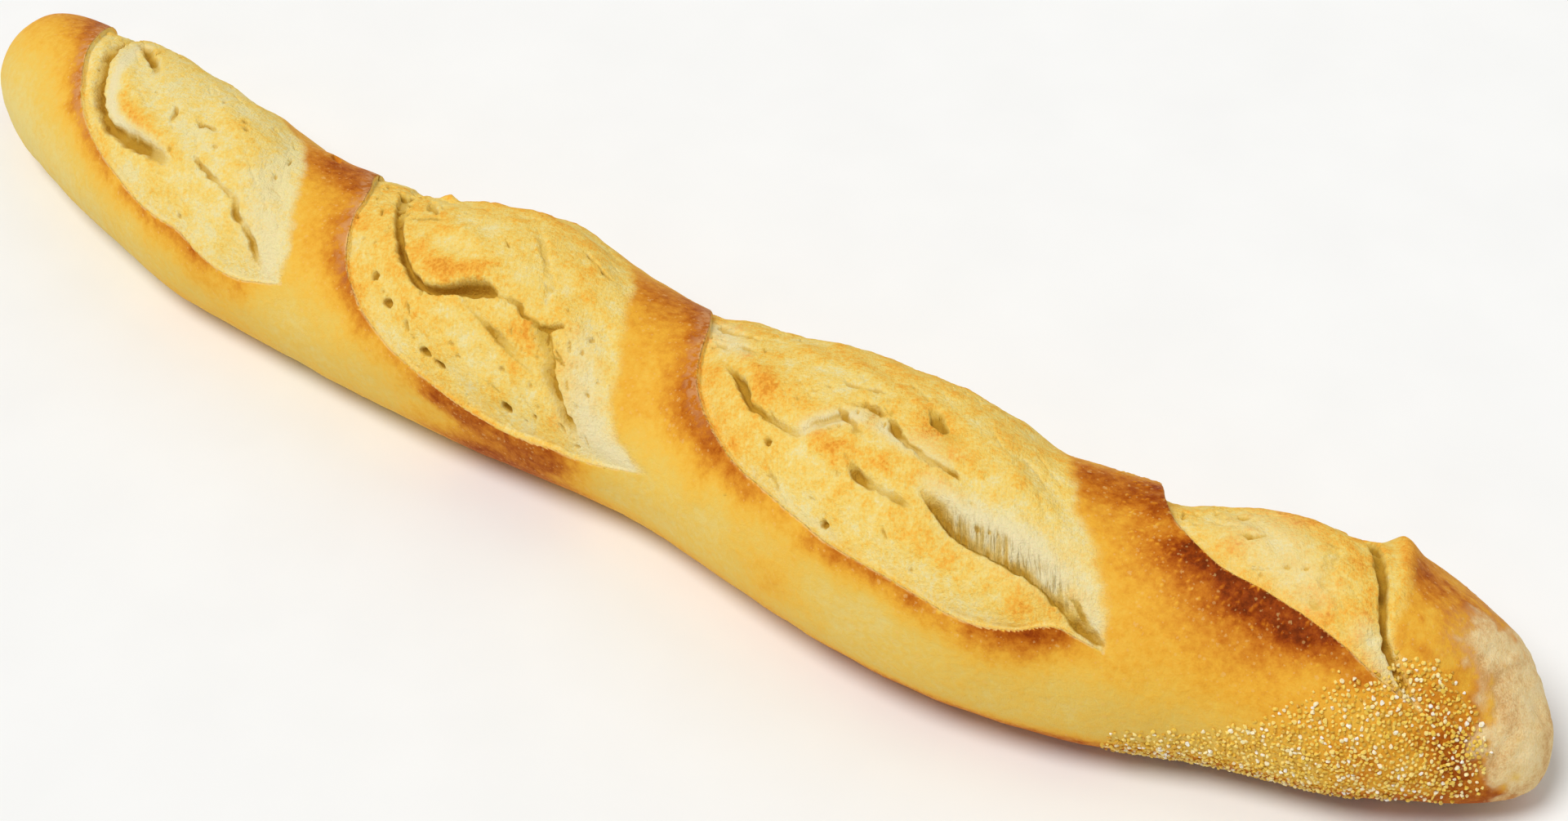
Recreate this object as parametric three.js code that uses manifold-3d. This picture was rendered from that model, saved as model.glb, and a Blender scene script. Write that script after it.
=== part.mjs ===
// A baguette: one long crusty loaf with four slanted cuts that opened in the oven.
// Millimetres, +Z up. X runs along the loaf, and the flat baked base lies on z = 0.
//
// A place on the crust is given as (x, s): x along the loaf, and s the distance over the crust
// from the top line, positive down the front side (-Y) and negative down the back side (+Y).

import * as THREE from 'three';
import { mergeVertices } from 'three/addons/utils/BufferGeometryUtils.js';
import Module from 'manifold-3d';

// ---- the whole loaf -------------------------------------------------------------------------
const LENGTH = 450;
const STATION_GAP = 30;          // between the widths below, from the far end to the near end
const HALF_WIDTHS = [27, 24, 25, 27, 26.5, 27.5, 31, 29.5, 28.5, 32.5, 35, 33.5, 31.5, 31.5, 31.5, 22];
const MIDDLE_LINE = [18, 10, 2.5, -4, -7, -8, -6, -5.5, -5.5, -7, -9, -10, -5, 7, 12.5, 15];
const END_ROUND = 66;            // length over which each end closes
const END_FULLNESS = 2.3;        // 2 is an ellipse, more is blunter
const CROWN = 0.862;             // height above the widest line, over the half width
const BELLY = 0.70;              // depth below it before the base is flattened
const BELLY_FULLNESS = 2.6;
const BASE_CUT = 0.94;           // share of the belly that is left above the flat base
const END_LIFT = 0.3;            // how far the base turns up at the ends, over the height

// ---- the foot -------------------------------------------------------------------------------
// The loaf lies on the part of its base behind this line of (x, y) points. Before the line the
// underside rises a little, so that the loaf stands on four corners far apart and can't rock.
const FOOT_FRONT = [[-175, 17.5], [-45, -16], [92, -22], [175, 32.5]];
const FOOT_RISE = 0.04;          // slope of the underside before it

// ---- the mesh -------------------------------------------------------------------------------
const ROWS = 104;                // along the loaf
const TIP_CROWDING = 1.2;        // rows lie closer together towards the two tips
const TOP_STEPS = 28;            // round the crown, from one widest line to the other
const SIDE_STEPS = 4;            // from a widest line down to the base
const BASE_STEPS = 5;            // across the flat base

// ---- relief of the cuts ---------------------------------------------------------------------
const LEAF_SINK = 1.0;           // the opened crumb starts this far below the crust
const LEAF_RISE = 2.2;           // and swells by this much towards its middle
const LEAF_SWELL_WIDTH = 13;
const EAR_OUTER_WIDTH = 7;       // the crust climbs to the ear over this distance
const EAR_INNER_WIDTH = 3.5;

// Each cut is a leaf-shaped opening. "ear" is the lifted lip and "edge" the flat side opposite;
// both run from the tip at the back to the tip at the front. "tears" are folds in the crumb:
// a line, its depth, and how far it reaches on the ear side and on the far side, which is never
// less than about 4.5 mm, so that the mesh can follow it.
const CUTS = [
  {
    ear: [[-206, -34], [-205, -18], [-193, -3], [-184, 9], [-171, 21], [-150, 27], [-130, 28],
      [-114, 32], [-103, 30], [-92, 26]],
    edge: [[-206, -34], [-180, -38], [-150, -31], [-122, -17], [-110, -8], [-101, 4], [-94, 16],
      [-92, 26]],
    earHeight: 1.4,
    tears: [
      { line: [[-189, -26], [-184, -13], [-179, -3], [-173, 7], [-165, 13], [-152, 15], [-142, 14]],
        depth: 4.5, earSide: 6, farSide: 4.5 },
      { line: [[-130, 10], [-119, 12], [-109, 17], [-100, 25]], depth: 0.8, earSide: 4.5, farSide: 4.5 },
    ],
  },
  {
    ear: [[-103, -42], [-101, -28], [-93, -12], [-87, 4], [-77, 17], [-62, 29], [-46, 39],
      [-28, 43], [-12, 41], [0, 38], [18, 33]],
    edge: [[-103, -42], [-75, -42], [-45, -33], [-22, -20], [-10, -8], [-2, 5], [5, 19], [10, 28],
      [18, 33]],
    earHeight: 1.3,
    tears: [
      { line: [[-82, -24], [-76, -12], [-70, 0], [-63, 9], [-53, 16], [-45, 16], [-36, 11]],
        depth: 4, earSide: 4.5, farSide: 5 },
      { line: [[-36, 11], [-20, 12], [-14, 20], [-5, 30]], depth: 1.2, earSide: 4.5, farSide: 4.5 },
    ],
  },
  {
    ear: [[-5, -44], [-5, -30], [5, -13], [12, 0], [25, 15], [41, 28], [60, 34.5], [82, 35.5],
      [107, 34], [124, 30], [138, 28]],
    edge: [[-5, -44], [30, -45], [70, -38], [97, -27], [110, -12], [121, 4], [131, 16], [138, 28]],
    earHeight: 1.4,
    tears: [
      { line: [[27, 3], [35, 8.5], [44, 12.5], [54, 14], [60, 6]], depth: 1.8, earSide: 4.5, farSide: 4.5 },
      { line: [[88, 16], [99, 17], [112, 17.5], [122, 20], [132, 25], [137, 28]],
        depth: 3.4, earSide: 4.5, farSide: 9 },
      { line: [[77, -10], [82, -4]], depth: 2.4, earSide: 4.5, farSide: 4.5 },
    ],
  },
  {
    ear: [[120, -44], [121, -30], [129, -14], [137, -3], [148, 6], [162, 12.5], [178, 17.5],
      [190, 20], [202, 18]],
    edge: [[120, -44], [150, -42], [171, -31], [179, -20], [184, -6], [189, 5], [194, 14], [202, 18]],
    earHeight: 2.4,
    tears: [
      { line: [[163, -27], [171, -18], [178, -11], [183, 0], [189, 11], [199, 17]],
        depth: 4.2, earSide: 5, farSide: 4.5 },
    ],
  },
];

// ---- corn grits baked onto the near end -------------------------------------------------------
const GRITS = 80;
const GRIT_LENGTH = 2.3;         // the largest grains, the ones that show from a step away
const GRIT_WIDTH = 1.7;
const GRIT_SINK = 0.35;          // share of a grain's half width that the crust holds
const GRIT_SEED = 17;
// the patch of grits on the front of the near end, as an outline in (x, s)
const GRIT_PATCH = [[138, 50], [170, 40], [184, 24], [200, 14], [213, 16], [212, 28], [200, 44],
  [178, 53], [140, 54]];

// A smooth curve through values that are an equal distance apart.
function along(values, place) {
  const last = values.length - 1;
  const i = Math.min(Math.max(Math.floor(place), 0), last - 1);
  const t = place - i;
  const a = values[Math.max(i - 1, 0)];
  const b = values[i];
  const c = values[i + 1];
  const d = values[Math.min(i + 2, last)];
  return b + 0.5 * t * (c - a + t * (2 * a - 5 * b + 4 * c - d + t * (3 * (b - c) + d - a)));
}

function smooth(t) {
  const k = Math.min(Math.max(t, 0), 1);
  return k * k * (3 - 2 * k);
}

// The outline of a cross-section of half width 1. angle is 0 at the top and PI below.
function sectionPoint(angle) {
  const side = -Math.sin(angle);
  const up = Math.cos(angle);
  const bottom = BELLY * BASE_CUT;
  if (up >= 0) return [side, CROWN * up + bottom];
  const flat = Math.sign(side) * Math.abs(side) ** (2 / BELLY_FULLNESS);
  return [flat, Math.max(bottom - BELLY * Math.abs(up) ** (2 / BELLY_FULLNESS), 0)];
}

const HEIGHT_SHARE = CROWN + BELLY * BASE_CUT;
const BASE_ANGLE = Math.PI - Math.acos(BASE_CUT ** (BELLY_FULLNESS / 2));

// Distance over the crust from the top line, for a half width of 1.
function crustDistance(angle) {
  const steps = 60;
  let distance = 0;
  let [y, z] = sectionPoint(0);
  for (let i = 1; i <= steps; i++) {
    const [nextY, nextZ] = sectionPoint((angle * i) / steps);
    distance += Math.hypot(nextY - y, nextZ - z);
    [y, z] = [nextY, nextZ];
  }
  return Math.sign(angle) * distance;
}

// How much of its full width the loaf has at x: 1 in the middle and 0 at the tips.
function fullness(x) {
  const fromTip = Math.min(LENGTH / 2 - Math.abs(x), END_ROUND) / END_ROUND;
  return (1 - (1 - fromTip) ** END_FULLNESS) ** (1 / END_FULLNESS);
}

// Distance from (x, s) to a line of points: more than 0 on the ear's side of it, less on the other.
function signedDistance(line, x, s) {
  let nearest = Infinity;
  let side = 1;
  for (let i = 1; i < line.length; i++) {
    const [ax, as] = line[i - 1];
    const [dx, ds] = [line[i][0] - ax, line[i][1] - as];
    const t = Math.min(Math.max(((x - ax) * dx + (s - as) * ds) / (dx * dx + ds * ds), 0), 1);
    const distance = Math.hypot(x - ax - t * dx, s - as - t * ds);
    if (distance >= nearest) continue;
    nearest = distance;
    side = dx * (s - as) - ds * (x - ax) > 0 ? 1 : -1;
  }
  return side * nearest;
}

// True where (x, s) lies inside a closed outline.
function inside(outline, x, s) {
  let isInside = false;
  outline.forEach(([ax, as], i) => {
    const [bx, bs] = outline[(i + 1) % outline.length];
    if ((as > s) !== (bs > s) && x < ax + ((s - as) * (bx - ax)) / (bs - as)) isInside = !isInside;
  });
  return isInside;
}

// A tear sinks to its line, on the ear side over one width and on the other side over another.
function tearDepth(tear, x, s) {
  const distance = signedDistance(tear.line, x, s);
  const width = distance > 0 ? tear.earSide : tear.farSide;
  return tear.depth * smooth(1 - Math.abs(distance) / width);
}

// Height of the crust above the plain loaf at (x, s).
function relief(x, s) {
  let height = 0;
  for (const cut of CUTS) {
    const outline = [...cut.ear, ...cut.edge.slice(1, -1).reverse()];
    const toEar = Math.abs(signedDistance(cut.ear, x, s));
    const isOpen = inside(outline, x, s);
    const earWidth = isOpen ? EAR_INNER_WIDTH : EAR_OUTER_WIDTH;
    height += cut.earHeight * Math.exp(-((toEar / earWidth) ** 2));
    if (!isOpen) continue;
    const fromRim = Math.min(toEar, Math.abs(signedDistance(cut.edge, x, s)));
    height += LEAF_RISE * smooth(fromRim / LEAF_SWELL_WIDTH) - LEAF_SINK * smooth(fromRim / 2);
    for (const tear of cut.tears) height -= tearDepth(tear, x, s);
  }
  return height;
}

// The point of the crust at x and at an angle round the section, raised by its relief.
function crustPoint(x, angle) {
  const place = (x + LENGTH / 2) / STATION_GAP;
  const full = fullness(x);
  const halfWidth = along(HALF_WIDTHS, place);
  const width = halfWidth * full;
  const lift = (1 - full) * halfWidth * HEIGHT_SHARE * END_LIFT;
  const [y, z] = sectionPoint(angle);
  const point = new THREE.Vector3(x, along(MIDDLE_LINE, place) + y * width, lift + z * width);
  if (Math.abs(angle) >= BASE_ANGLE) return point;
  const step = 0.01;
  const [y1, z1] = sectionPoint(angle - step);
  const [y2, z2] = sectionPoint(angle + step);
  const length = Math.hypot(y2 - y1, z2 - z1);
  const height = relief(x, crustDistance(angle) * width) * smooth((BASE_ANGLE - Math.abs(angle)) / 0.5);
  point.y += (height * (z2 - z1)) / length;
  point.z -= (height * (y2 - y1)) / length;
  point.z = Math.max(point.z, 0);
  return point;
}

// The angles of the columns round a section, from the middle of the base round to it again.
function columnAngles() {
  const angles = [];
  const quarter = Math.PI / 2;
  for (let i = 0; i < TOP_STEPS; i++) angles.push(-quarter + (Math.PI * i) / TOP_STEPS);
  for (let i = 0; i < SIDE_STEPS; i++) angles.push(quarter + ((BASE_ANGLE - quarter) * i) / SIDE_STEPS);
  const baseSpan = 2 * (Math.PI - BASE_ANGLE);
  for (let i = 0; i < BASE_STEPS; i++) {
    const angle = BASE_ANGLE + (baseSpan * i) / BASE_STEPS;
    angles.push(angle > Math.PI ? angle - 2 * Math.PI : angle);
  }
  for (let i = 0; i < SIDE_STEPS; i++) angles.push(-BASE_ANGLE + ((BASE_ANGLE - quarter) * i) / SIDE_STEPS);
  return angles;
}

// The loaf as one closed surface: a tip, rings of points, and the other tip.
function loafSurface() {
  const angles = columnAngles();
  const columns = angles.length;
  const points = [crustPoint(-LENGTH / 2, 0)];
  for (let row = 1; row < ROWS; row++) {
    const t = (2 * row) / ROWS - 1;
    const x = (Math.sign(t) * LENGTH * (1 - (1 - Math.abs(t)) ** TIP_CROWDING)) / 2;
    for (const angle of angles) points.push(crustPoint(x, angle));
  }
  points.push(crustPoint(LENGTH / 2, 0));
  const last = points.length - 1;
  const at = (row, column) => 1 + (row - 1) * columns + (column % columns);
  const faces = [];
  for (let column = 0; column < columns; column++) {
    faces.push(0, at(1, column + 1), at(1, column));
    faces.push(last, at(ROWS - 1, column), at(ROWS - 1, column + 1));
    for (let row = 1; row < ROWS - 1; row++) {
      const [a, b] = [at(row, column), at(row, column + 1)];
      const [c, d] = [at(row + 1, column + 1), at(row + 1, column)];
      if ((row + column) % 2) faces.push(a, b, d, d, b, c);
      else faces.push(a, c, d, a, b, c);
    }
  }
  const geometry = new THREE.BufferGeometry().setFromPoints(points);
  geometry.setIndex(faces);
  return geometry;
}

// The solid without what lies below the shallow slopes before the foot.
function trimToFoot(solid) {
  let trimmed = solid;
  for (let i = 0; i + 1 < FOOT_FRONT.length; i++) {
    const [[ax, ay], [bx, by]] = [FOOT_FRONT[i], FOOT_FRONT[i + 1]];
    const slope = FOOT_RISE / Math.hypot(bx - ax, by - ay);
    const normal = new THREE.Vector3(-slope * (by - ay), slope * (bx - ax), 1).normalize();
    trimmed = trimmed.trimByPlane(normal.toArray(), normal.dot(new THREE.Vector3(ax, ay, 0)));
  }
  return trimmed;
}

// The angle round the section at a distance s over the crust, found by halving.
function angleAt(x, s) {
  const width = along(HALF_WIDTHS, (x + LENGTH / 2) / STATION_GAP) * fullness(x);
  let [low, high] = [-Math.PI, Math.PI];
  for (let i = 0; i < 20; i++) {
    const middle = (low + high) / 2;
    if (crustDistance(middle) * width < s) low = middle;
    else high = middle;
  }
  return (low + high) / 2;
}

// A repeatable stream of numbers from 0 to 1.
function randomStream(seed) {
  let state = seed;
  return () => {
    state = (state * 16807) % 2147483647;
    return state / 2147483647;
  };
}

// Places for the grits: random, and each one taken only where it has room round it.
function gritPlaces(random) {
  const places = [];
  const xs = GRIT_PATCH.map(([x]) => x);
  const ss = GRIT_PATCH.map(([, s]) => s);
  const [minX, maxX] = [Math.min(...xs), Math.max(...xs)];
  const [minS, maxS] = [Math.min(...ss), Math.max(...ss)];
  let room = 2 * GRIT_LENGTH;
  while (places.length < GRITS) {
    const x = minX + random() * (maxX - minX);
    const s = minS + random() * (maxS - minS);
    const isClear = places.every(([px, ps]) => Math.hypot(px - x, ps - s) > room);
    if (isClear && inside(GRIT_PATCH, x, s)) places.push([x, s]);
    else room *= 0.9995;
  }
  return places;
}

// One grain: a stretched icosahedron, turned at random and half sunk in the crust.
function gritSurface(x, s, random) {
  const angle = angleAt(x, s);
  const reach = 0.5;
  const centre = crustPoint(x, angle);
  const ahead = crustPoint(x + reach, angle).sub(centre);
  const around = crustPoint(x, angle + 0.02).sub(centre);
  const outward = new THREE.Vector3().crossVectors(around, ahead).normalize();
  const turn = new THREE.Quaternion().setFromUnitVectors(new THREE.Vector3(0, 0, 1), outward);
  const spin = new THREE.Quaternion().setFromAxisAngle(outward, random() * Math.PI);
  const size = 0.85 + 0.3 * random();
  const geometry = new THREE.IcosahedronGeometry(1, 0);
  geometry.scale((GRIT_LENGTH * size) / 2, (GRIT_WIDTH * size) / 2, (GRIT_WIDTH * size) / 2);
  geometry.applyQuaternion(spin.multiply(turn));
  const rise = (GRIT_WIDTH * size * (1 - 2 * GRIT_SINK)) / 2;
  geometry.translate(...centre.addScaledVector(outward, rise).toArray());
  return geometry;
}

function weld(geometry) {
  geometry.deleteAttribute('normal');
  geometry.deleteAttribute('uv');
  return mergeVertices(geometry, 1e-4);
}

const wasm = await Module();
wasm.setup();

function toSolid(geometry) {
  return new wasm.Manifold(new wasm.Mesh({
    numProp: 3,
    vertProperties: new Float32Array(geometry.attributes.position.array),
    triVerts: new Uint32Array(geometry.index.array),
  }));
}

function toGeometry(solid) {
  const mesh = solid.getMesh();
  const geometry = new THREE.BufferGeometry();
  geometry.setAttribute('position', new THREE.BufferAttribute(mesh.vertProperties, 3));
  geometry.setIndex(new THREE.BufferAttribute(mesh.triVerts, 1));
  geometry.computeVertexNormals();
  return geometry;
}

// The loaf with its grits, as one solid that stands on z = 0 about the middle of its footprint.
function makeLoaf() {
  const random = randomStream(GRIT_SEED);
  let solid = trimToFoot(toSolid(loafSurface()));
  for (const [x, s] of gritPlaces(random)) solid = solid.add(toSolid(weld(gritSurface(x, s, random))));
  const geometry = toGeometry(solid);
  geometry.computeBoundingBox();
  const { min, max } = geometry.boundingBox;
  geometry.translate(-(min.x + max.x) / 2, -(min.y + max.y) / 2, -min.z);
  return geometry;
}

const crust = new THREE.MeshStandardMaterial({ color: 0xd9a04a, roughness: 0.6, metalness: 0 });
const loaf = new THREE.Mesh(makeLoaf(), crust);
loaf.name = 'loaf';

const baguette = new THREE.Group();
baguette.add(loaf);

export default baguette;
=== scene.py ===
# %% [markdown]
# # A baguette, from the baker's cut to the corn on its end
#
# The loaf is one solid thing, but its surface is two materials: the crust, which was the skin of
# the dough, and the crumb that burst out through four slanted cuts while the loaf baked.
# This script lays a fine grid of points round the plain loaf and then lifts or sinks each point,
# the way a sculptor works clay. Every feature is placed on the crust by two lengths in
# millimetres: x along the loaf, and s over the crust from the top line towards the front.

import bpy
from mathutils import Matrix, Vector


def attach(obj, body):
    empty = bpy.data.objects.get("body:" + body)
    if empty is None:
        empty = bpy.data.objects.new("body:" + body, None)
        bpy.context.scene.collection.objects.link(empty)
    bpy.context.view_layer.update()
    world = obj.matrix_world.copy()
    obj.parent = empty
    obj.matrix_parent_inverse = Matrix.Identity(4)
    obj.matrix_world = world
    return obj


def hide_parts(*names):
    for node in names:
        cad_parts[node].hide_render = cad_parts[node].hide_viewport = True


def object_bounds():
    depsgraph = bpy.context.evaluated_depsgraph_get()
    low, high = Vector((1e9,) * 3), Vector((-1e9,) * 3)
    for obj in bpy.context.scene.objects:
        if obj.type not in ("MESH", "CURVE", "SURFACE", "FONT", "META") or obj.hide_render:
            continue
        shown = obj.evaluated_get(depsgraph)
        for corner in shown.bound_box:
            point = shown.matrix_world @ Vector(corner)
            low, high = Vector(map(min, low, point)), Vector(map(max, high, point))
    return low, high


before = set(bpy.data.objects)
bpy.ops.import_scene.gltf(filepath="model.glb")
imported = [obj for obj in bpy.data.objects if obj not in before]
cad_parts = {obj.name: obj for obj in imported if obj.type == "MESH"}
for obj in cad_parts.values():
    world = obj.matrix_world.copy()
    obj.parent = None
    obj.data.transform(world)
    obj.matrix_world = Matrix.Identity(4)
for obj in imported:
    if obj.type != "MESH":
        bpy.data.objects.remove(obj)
cad_low, cad_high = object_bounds()
print("CAD box, mm:", [round(1000 * v, 1) for v in (*cad_low, *cad_high)])

import math
import time

import bpy
import numpy as np
from mathutils import Vector

started = time.time()
MM = 0.001                      # every length below is in millimetres, and Blender works in metres

# %% [markdown]
# ## The plain loaf
#
# A hand-shaped loaf is never straight or even, so its half width and its middle line are read off
# at sixteen stations, 30 mm apart, and joined by a smooth curve. The same dimensions shape the
# CAD solid, so what is built here fills the same space.

# %% The loaf's driving dimensions
LENGTH = 450.0
STATION_GAP = 30.0
HALF_WIDTHS = np.array([27, 24, 25, 27, 26.5, 27.5, 31, 29.5, 28.5, 32.5, 35, 33.5, 31.5, 31.5,
                        31.5, 22])
MIDDLE_LINE = np.array([18, 10, 2.5, -4, -7, -8, -6, -5.5, -5.5, -7, -9, -10, -5, 7, 12.5, 15])
MIDDLE_SHIFT = 1.44             # puts the middle of the footprint on the frame's origin
END_ROUND = 66.0                # length over which each end rounds off
END_FULLNESS = 2.3              # 2 is an ellipse, and more is blunter
CROWN = 0.862                   # height of the dome, in half widths
BELLY = 0.70                    # depth of the belly, in half widths, before its base is cut flat
BELLY_FULLNESS = 2.6            # 2 is an ellipse, and more is squarer
BASE_CUT = 0.94                 # share of the belly's depth that stays above the flat base
END_LIFT = 0.3                  # rise of the tips, as a share of the height that is lost there
HEIGHT_SHARE = CROWN + BELLY * BASE_CUT
BASE_ANGLE = math.pi - math.acos(BASE_CUT ** (BELLY_FULLNESS / 2))


def smooth(t):
    """0 below 0, 1 above 1, and an even S-curve between."""
    t = np.clip(t, 0.0, 1.0)
    return t * t * (3 - 2 * t)


def curve_through(a, b, c, d, t):
    """The point at t between b and c of a smooth curve through a, b, c and d."""
    return b + 0.5 * t * (c - a + t * (2 * a - 5 * b + 4 * c - d + t * (3 * (b - c) + d - a)))


def at_station(values, x):
    """A station value, such as the half width, at any x."""
    place = (x + LENGTH / 2) / STATION_GAP
    last = len(values) - 1
    i = np.clip(np.floor(place).astype(int), 0, last - 1)
    return curve_through(values[np.maximum(i - 1, 0)], values[i], values[i + 1],
                         values[np.minimum(i + 2, last)], place - i)


def fullness(x):
    """How much of its full width the loaf has at x: 1 in the middle and 0 at the tips."""
    from_tip = np.clip((LENGTH / 2 - np.abs(x)) / END_ROUND, 0, 1)
    return (1 - (1 - from_tip) ** END_FULLNESS) ** (1 / END_FULLNESS)


def section(angle):
    """Outline of a cross-section of half width 1: a domed crown, and a belly cut flat below."""
    side, up = -np.sin(angle), np.cos(angle)
    bottom = BELLY * BASE_CUT
    flat_side = np.sign(side) * np.abs(side) ** (2 / BELLY_FULLNESS)
    belly = np.maximum(bottom - BELLY * np.abs(up) ** (2 / BELLY_FULLNESS), 0)
    return np.where(up >= 0, side, flat_side), np.where(up >= 0, CROWN * up + bottom, belly)


widest = HALF_WIDTHS.max()
print(f"loaf: {LENGTH:.0f} mm long, {2 * widest:.0f} mm wide, {widest * HEIGHT_SHARE:.0f} mm high")

# %% [markdown]
# ## The grid of points
#
# Blender could subdivide the CAD solid, but its triangles run the wrong way for slanted cuts.
# A fresh grid is simpler: rows along the loaf and columns round it, four tenths of a millimetre
# apart on the crown, where the detail is, and wider apart under the belly. NumPy holds the whole
# grid as arrays, so that one line of code moves half a million points at once.

# %% Rows and columns
ROWS = 1240
TIP_CROWDING = 1.15                 # more than 1 crowds the rows towards the tips
CROWN_ANGLE = math.radians(118)     # the fine columns reach this far down each side
CROWN_COLUMNS = 344
BELLY_COLUMNS = 34                  # on each side, down to the middle of the base
ARC_STEPS = 4000                    # short steps that measure the way round a section

even = np.linspace(-1, 1, ROWS)
row_x = np.sign(even) * LENGTH / 2 * (1 - (1 - np.abs(even)) ** TIP_CROWDING)
row_x = row_x[1:-1]
crown_angles = np.linspace(-CROWN_ANGLE, CROWN_ANGLE, CROWN_COLUMNS)
belly_angles = np.linspace(CROWN_ANGLE, math.pi, BELLY_COLUMNS)[1:]
column_angle = np.concatenate([-belly_angles[::-1][1:], crown_angles, belly_angles])

fine = np.linspace(-math.pi, math.pi, ARC_STEPS + 1)
fine_y, fine_z = section(fine)
fine_s = np.concatenate([[0], np.cumsum(np.hypot(np.diff(fine_y), np.diff(fine_z)))])
fine_s -= np.interp(0, fine, fine_s)

row_width = at_station(HALF_WIDTHS, row_x) * fullness(row_x)
row_lift = (1 - fullness(row_x)) * at_station(HALF_WIDTHS, row_x) * HEIGHT_SHARE * END_LIFT
row_middle = at_station(MIDDLE_LINE, row_x) + MIDDLE_SHIFT
column_y, column_z = section(column_angle)
column_s = np.interp(column_angle, fine, fine_s)

X = np.repeat(row_x[:, None], len(column_angle), axis=1)
S = row_width[:, None] * column_s[None, :]
plain = np.stack([X, row_middle[:, None] + row_width[:, None] * column_y[None, :],
                  row_lift[:, None] + row_width[:, None] * column_z[None, :]], axis=-1)
print(f"grid: {X.shape[0]} rows of {X.shape[1]} points")

# %% [markdown]
# ## Which way is out
#
# Relief is pushed along the surface normal, and a lip that hangs over a cut is also pushed
# sideways. Both directions come from the grid's own steps, along x and round the section.

# %% Normals and tangents
def unit(vectors):
    """The same directions with a length of 1."""
    return vectors / np.maximum(np.linalg.norm(vectors, axis=-1, keepdims=True), 1e-9)


along_x, along_s = unit(np.gradient(plain, axis=0)), unit(np.gradient(plain, axis=1))
outward = unit(np.cross(along_s, along_x))
BASE_FADE = 0.5                 # radians over which the relief dies away towards the flat base
on_top = smooth((BASE_ANGLE - np.abs(column_angle)) / BASE_FADE)[None, :]
print("outward at the crown:", outward[len(row_x) // 2, len(column_angle) // 2].round(2))

# %% [markdown]
# ## Noise
#
# Nothing baked is smooth or regular. Value noise gives every corner of a cubic lattice a random
# height and blends between them, and adding finer and finer layers of it gives the broken,
# lumpy look of dough. It is worked out from points in space, so it has no seam round the loaf,
# and from whole numbers, so it is the same on every run.

# %% Lattice noise
AXIS_FACTORS = np.array([73856093, 19349663, 83492791])    # large factors scramble a corner's place
SEED_FACTOR, MIXING_FACTOR = 40503, 1274126177
LARGEST, HALF_OF_LARGEST = 0x7FFFFFFF, 0x3FFFFFFF
WELL_INSIDE = 512.0             # keeps every cell's number above 0


def lattice_noise(points, size, seed):
    """Smooth noise from -1 to 1, with lumps about `size` mm across (one size, or one per axis)."""
    place = points / size + WELL_INSIDE
    cell = np.floor(place).astype(np.int64)
    part = place - cell
    part = part * part * (3 - 2 * part)
    total = np.zeros(points.shape[:-1])
    for corner in range(8):
        offset = np.array([corner & 1, corner >> 1 & 1, corner >> 2 & 1])
        key = (cell + offset) * AXIS_FACTORS
        mixed = key[..., 0] ^ key[..., 1] ^ key[..., 2] ^ (seed * SEED_FACTOR)
        mixed = (mixed ^ (mixed >> 13)) * MIXING_FACTOR & LARGEST
        mixed = (mixed ^ (mixed >> 15)) * SEED_FACTOR & LARGEST
        share = np.where(offset == 1, part, 1 - part).prod(axis=-1)
        total += share * (mixed / HALF_OF_LARGEST - 1)
    return total


def rough_noise(points, size, seed, layers=3, keep=0.5):
    """Layers of lattice noise, each half the size of the last and `keep` times as strong."""
    total = sum(keep ** i * lattice_noise(points, size / 2 ** i, seed + i) for i in range(layers))
    return total / sum(keep ** i for i in range(layers))


def slanted_noise(slant, long, short, seed):
    """Noise with lumps `long` mm along a slant, in degrees from x towards s, `short` mm across."""
    slant = math.radians(slant)
    along = X * math.cos(slant) + S * math.sin(slant)
    beside = -X * math.sin(slant) + S * math.cos(slant)
    flat = np.stack([along / long, beside / short, np.zeros_like(X)], axis=-1)
    return lattice_noise(flat, 1.0, seed)


lumps_30 = rough_noise(plain, 30, 1, layers=2)
lumps_8 = rough_noise(plain, 8, 5)
lumps_3 = rough_noise(plain, 3, 11)
print(f"noise ready after {time.time() - started:.0f} s")

# %% [markdown]
# ## Lines on the crust
#
# Almost everything on this loaf follows a line: the lip of a cut, the opposite edge, a tear in
# the crumb. A line is a few given points, with a smooth curve through them, and any
# further numbers in a row, such as a depth, change smoothly along it too. The one question
# asked of a line is how far each grid point is from it and on which side, so one function
# answers it. The lines would look drawn with a ruler if the points weren't first nudged by
# a little noise.

# %% Signed distance to a line
WANDER = 0.5                    # how far a line strays from its points, over several millimetres
FRAY = 0.55                     # and how far a torn line strays further, every millimetre or two
wander_x = X + WANDER * rough_noise(plain, 9, 21, layers=2)
wander_s = S + WANDER * rough_noise(plain, 9, 31, layers=2)
fray_x = FRAY * (lattice_noise(plain, 2.6, 24) + 0.5 * lattice_noise(plain, 1.0, 25))
fray_s = FRAY * (lattice_noise(plain, 2.6, 34) + 0.5 * lattice_noise(plain, 1.0, 35))


def line_through(rows, step=2.0):
    """Rows of (x, s, further values) joined by a smooth curve and cut into short steps."""
    rows = np.array(rows, float)
    last = len(rows) - 1
    pieces = []
    for i in range(last):
        span = np.hypot(*(rows[i + 1] - rows[i])[:2])
        t = np.linspace(0, 1, max(2, int(span / step)), endpoint=False)[:, None]
        pieces.append(curve_through(rows[max(i - 1, 0)], rows[i], rows[i + 1],
                                    rows[min(i + 2, last)], t))
    return np.concatenate([*pieces, rows[-1:]])


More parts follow.
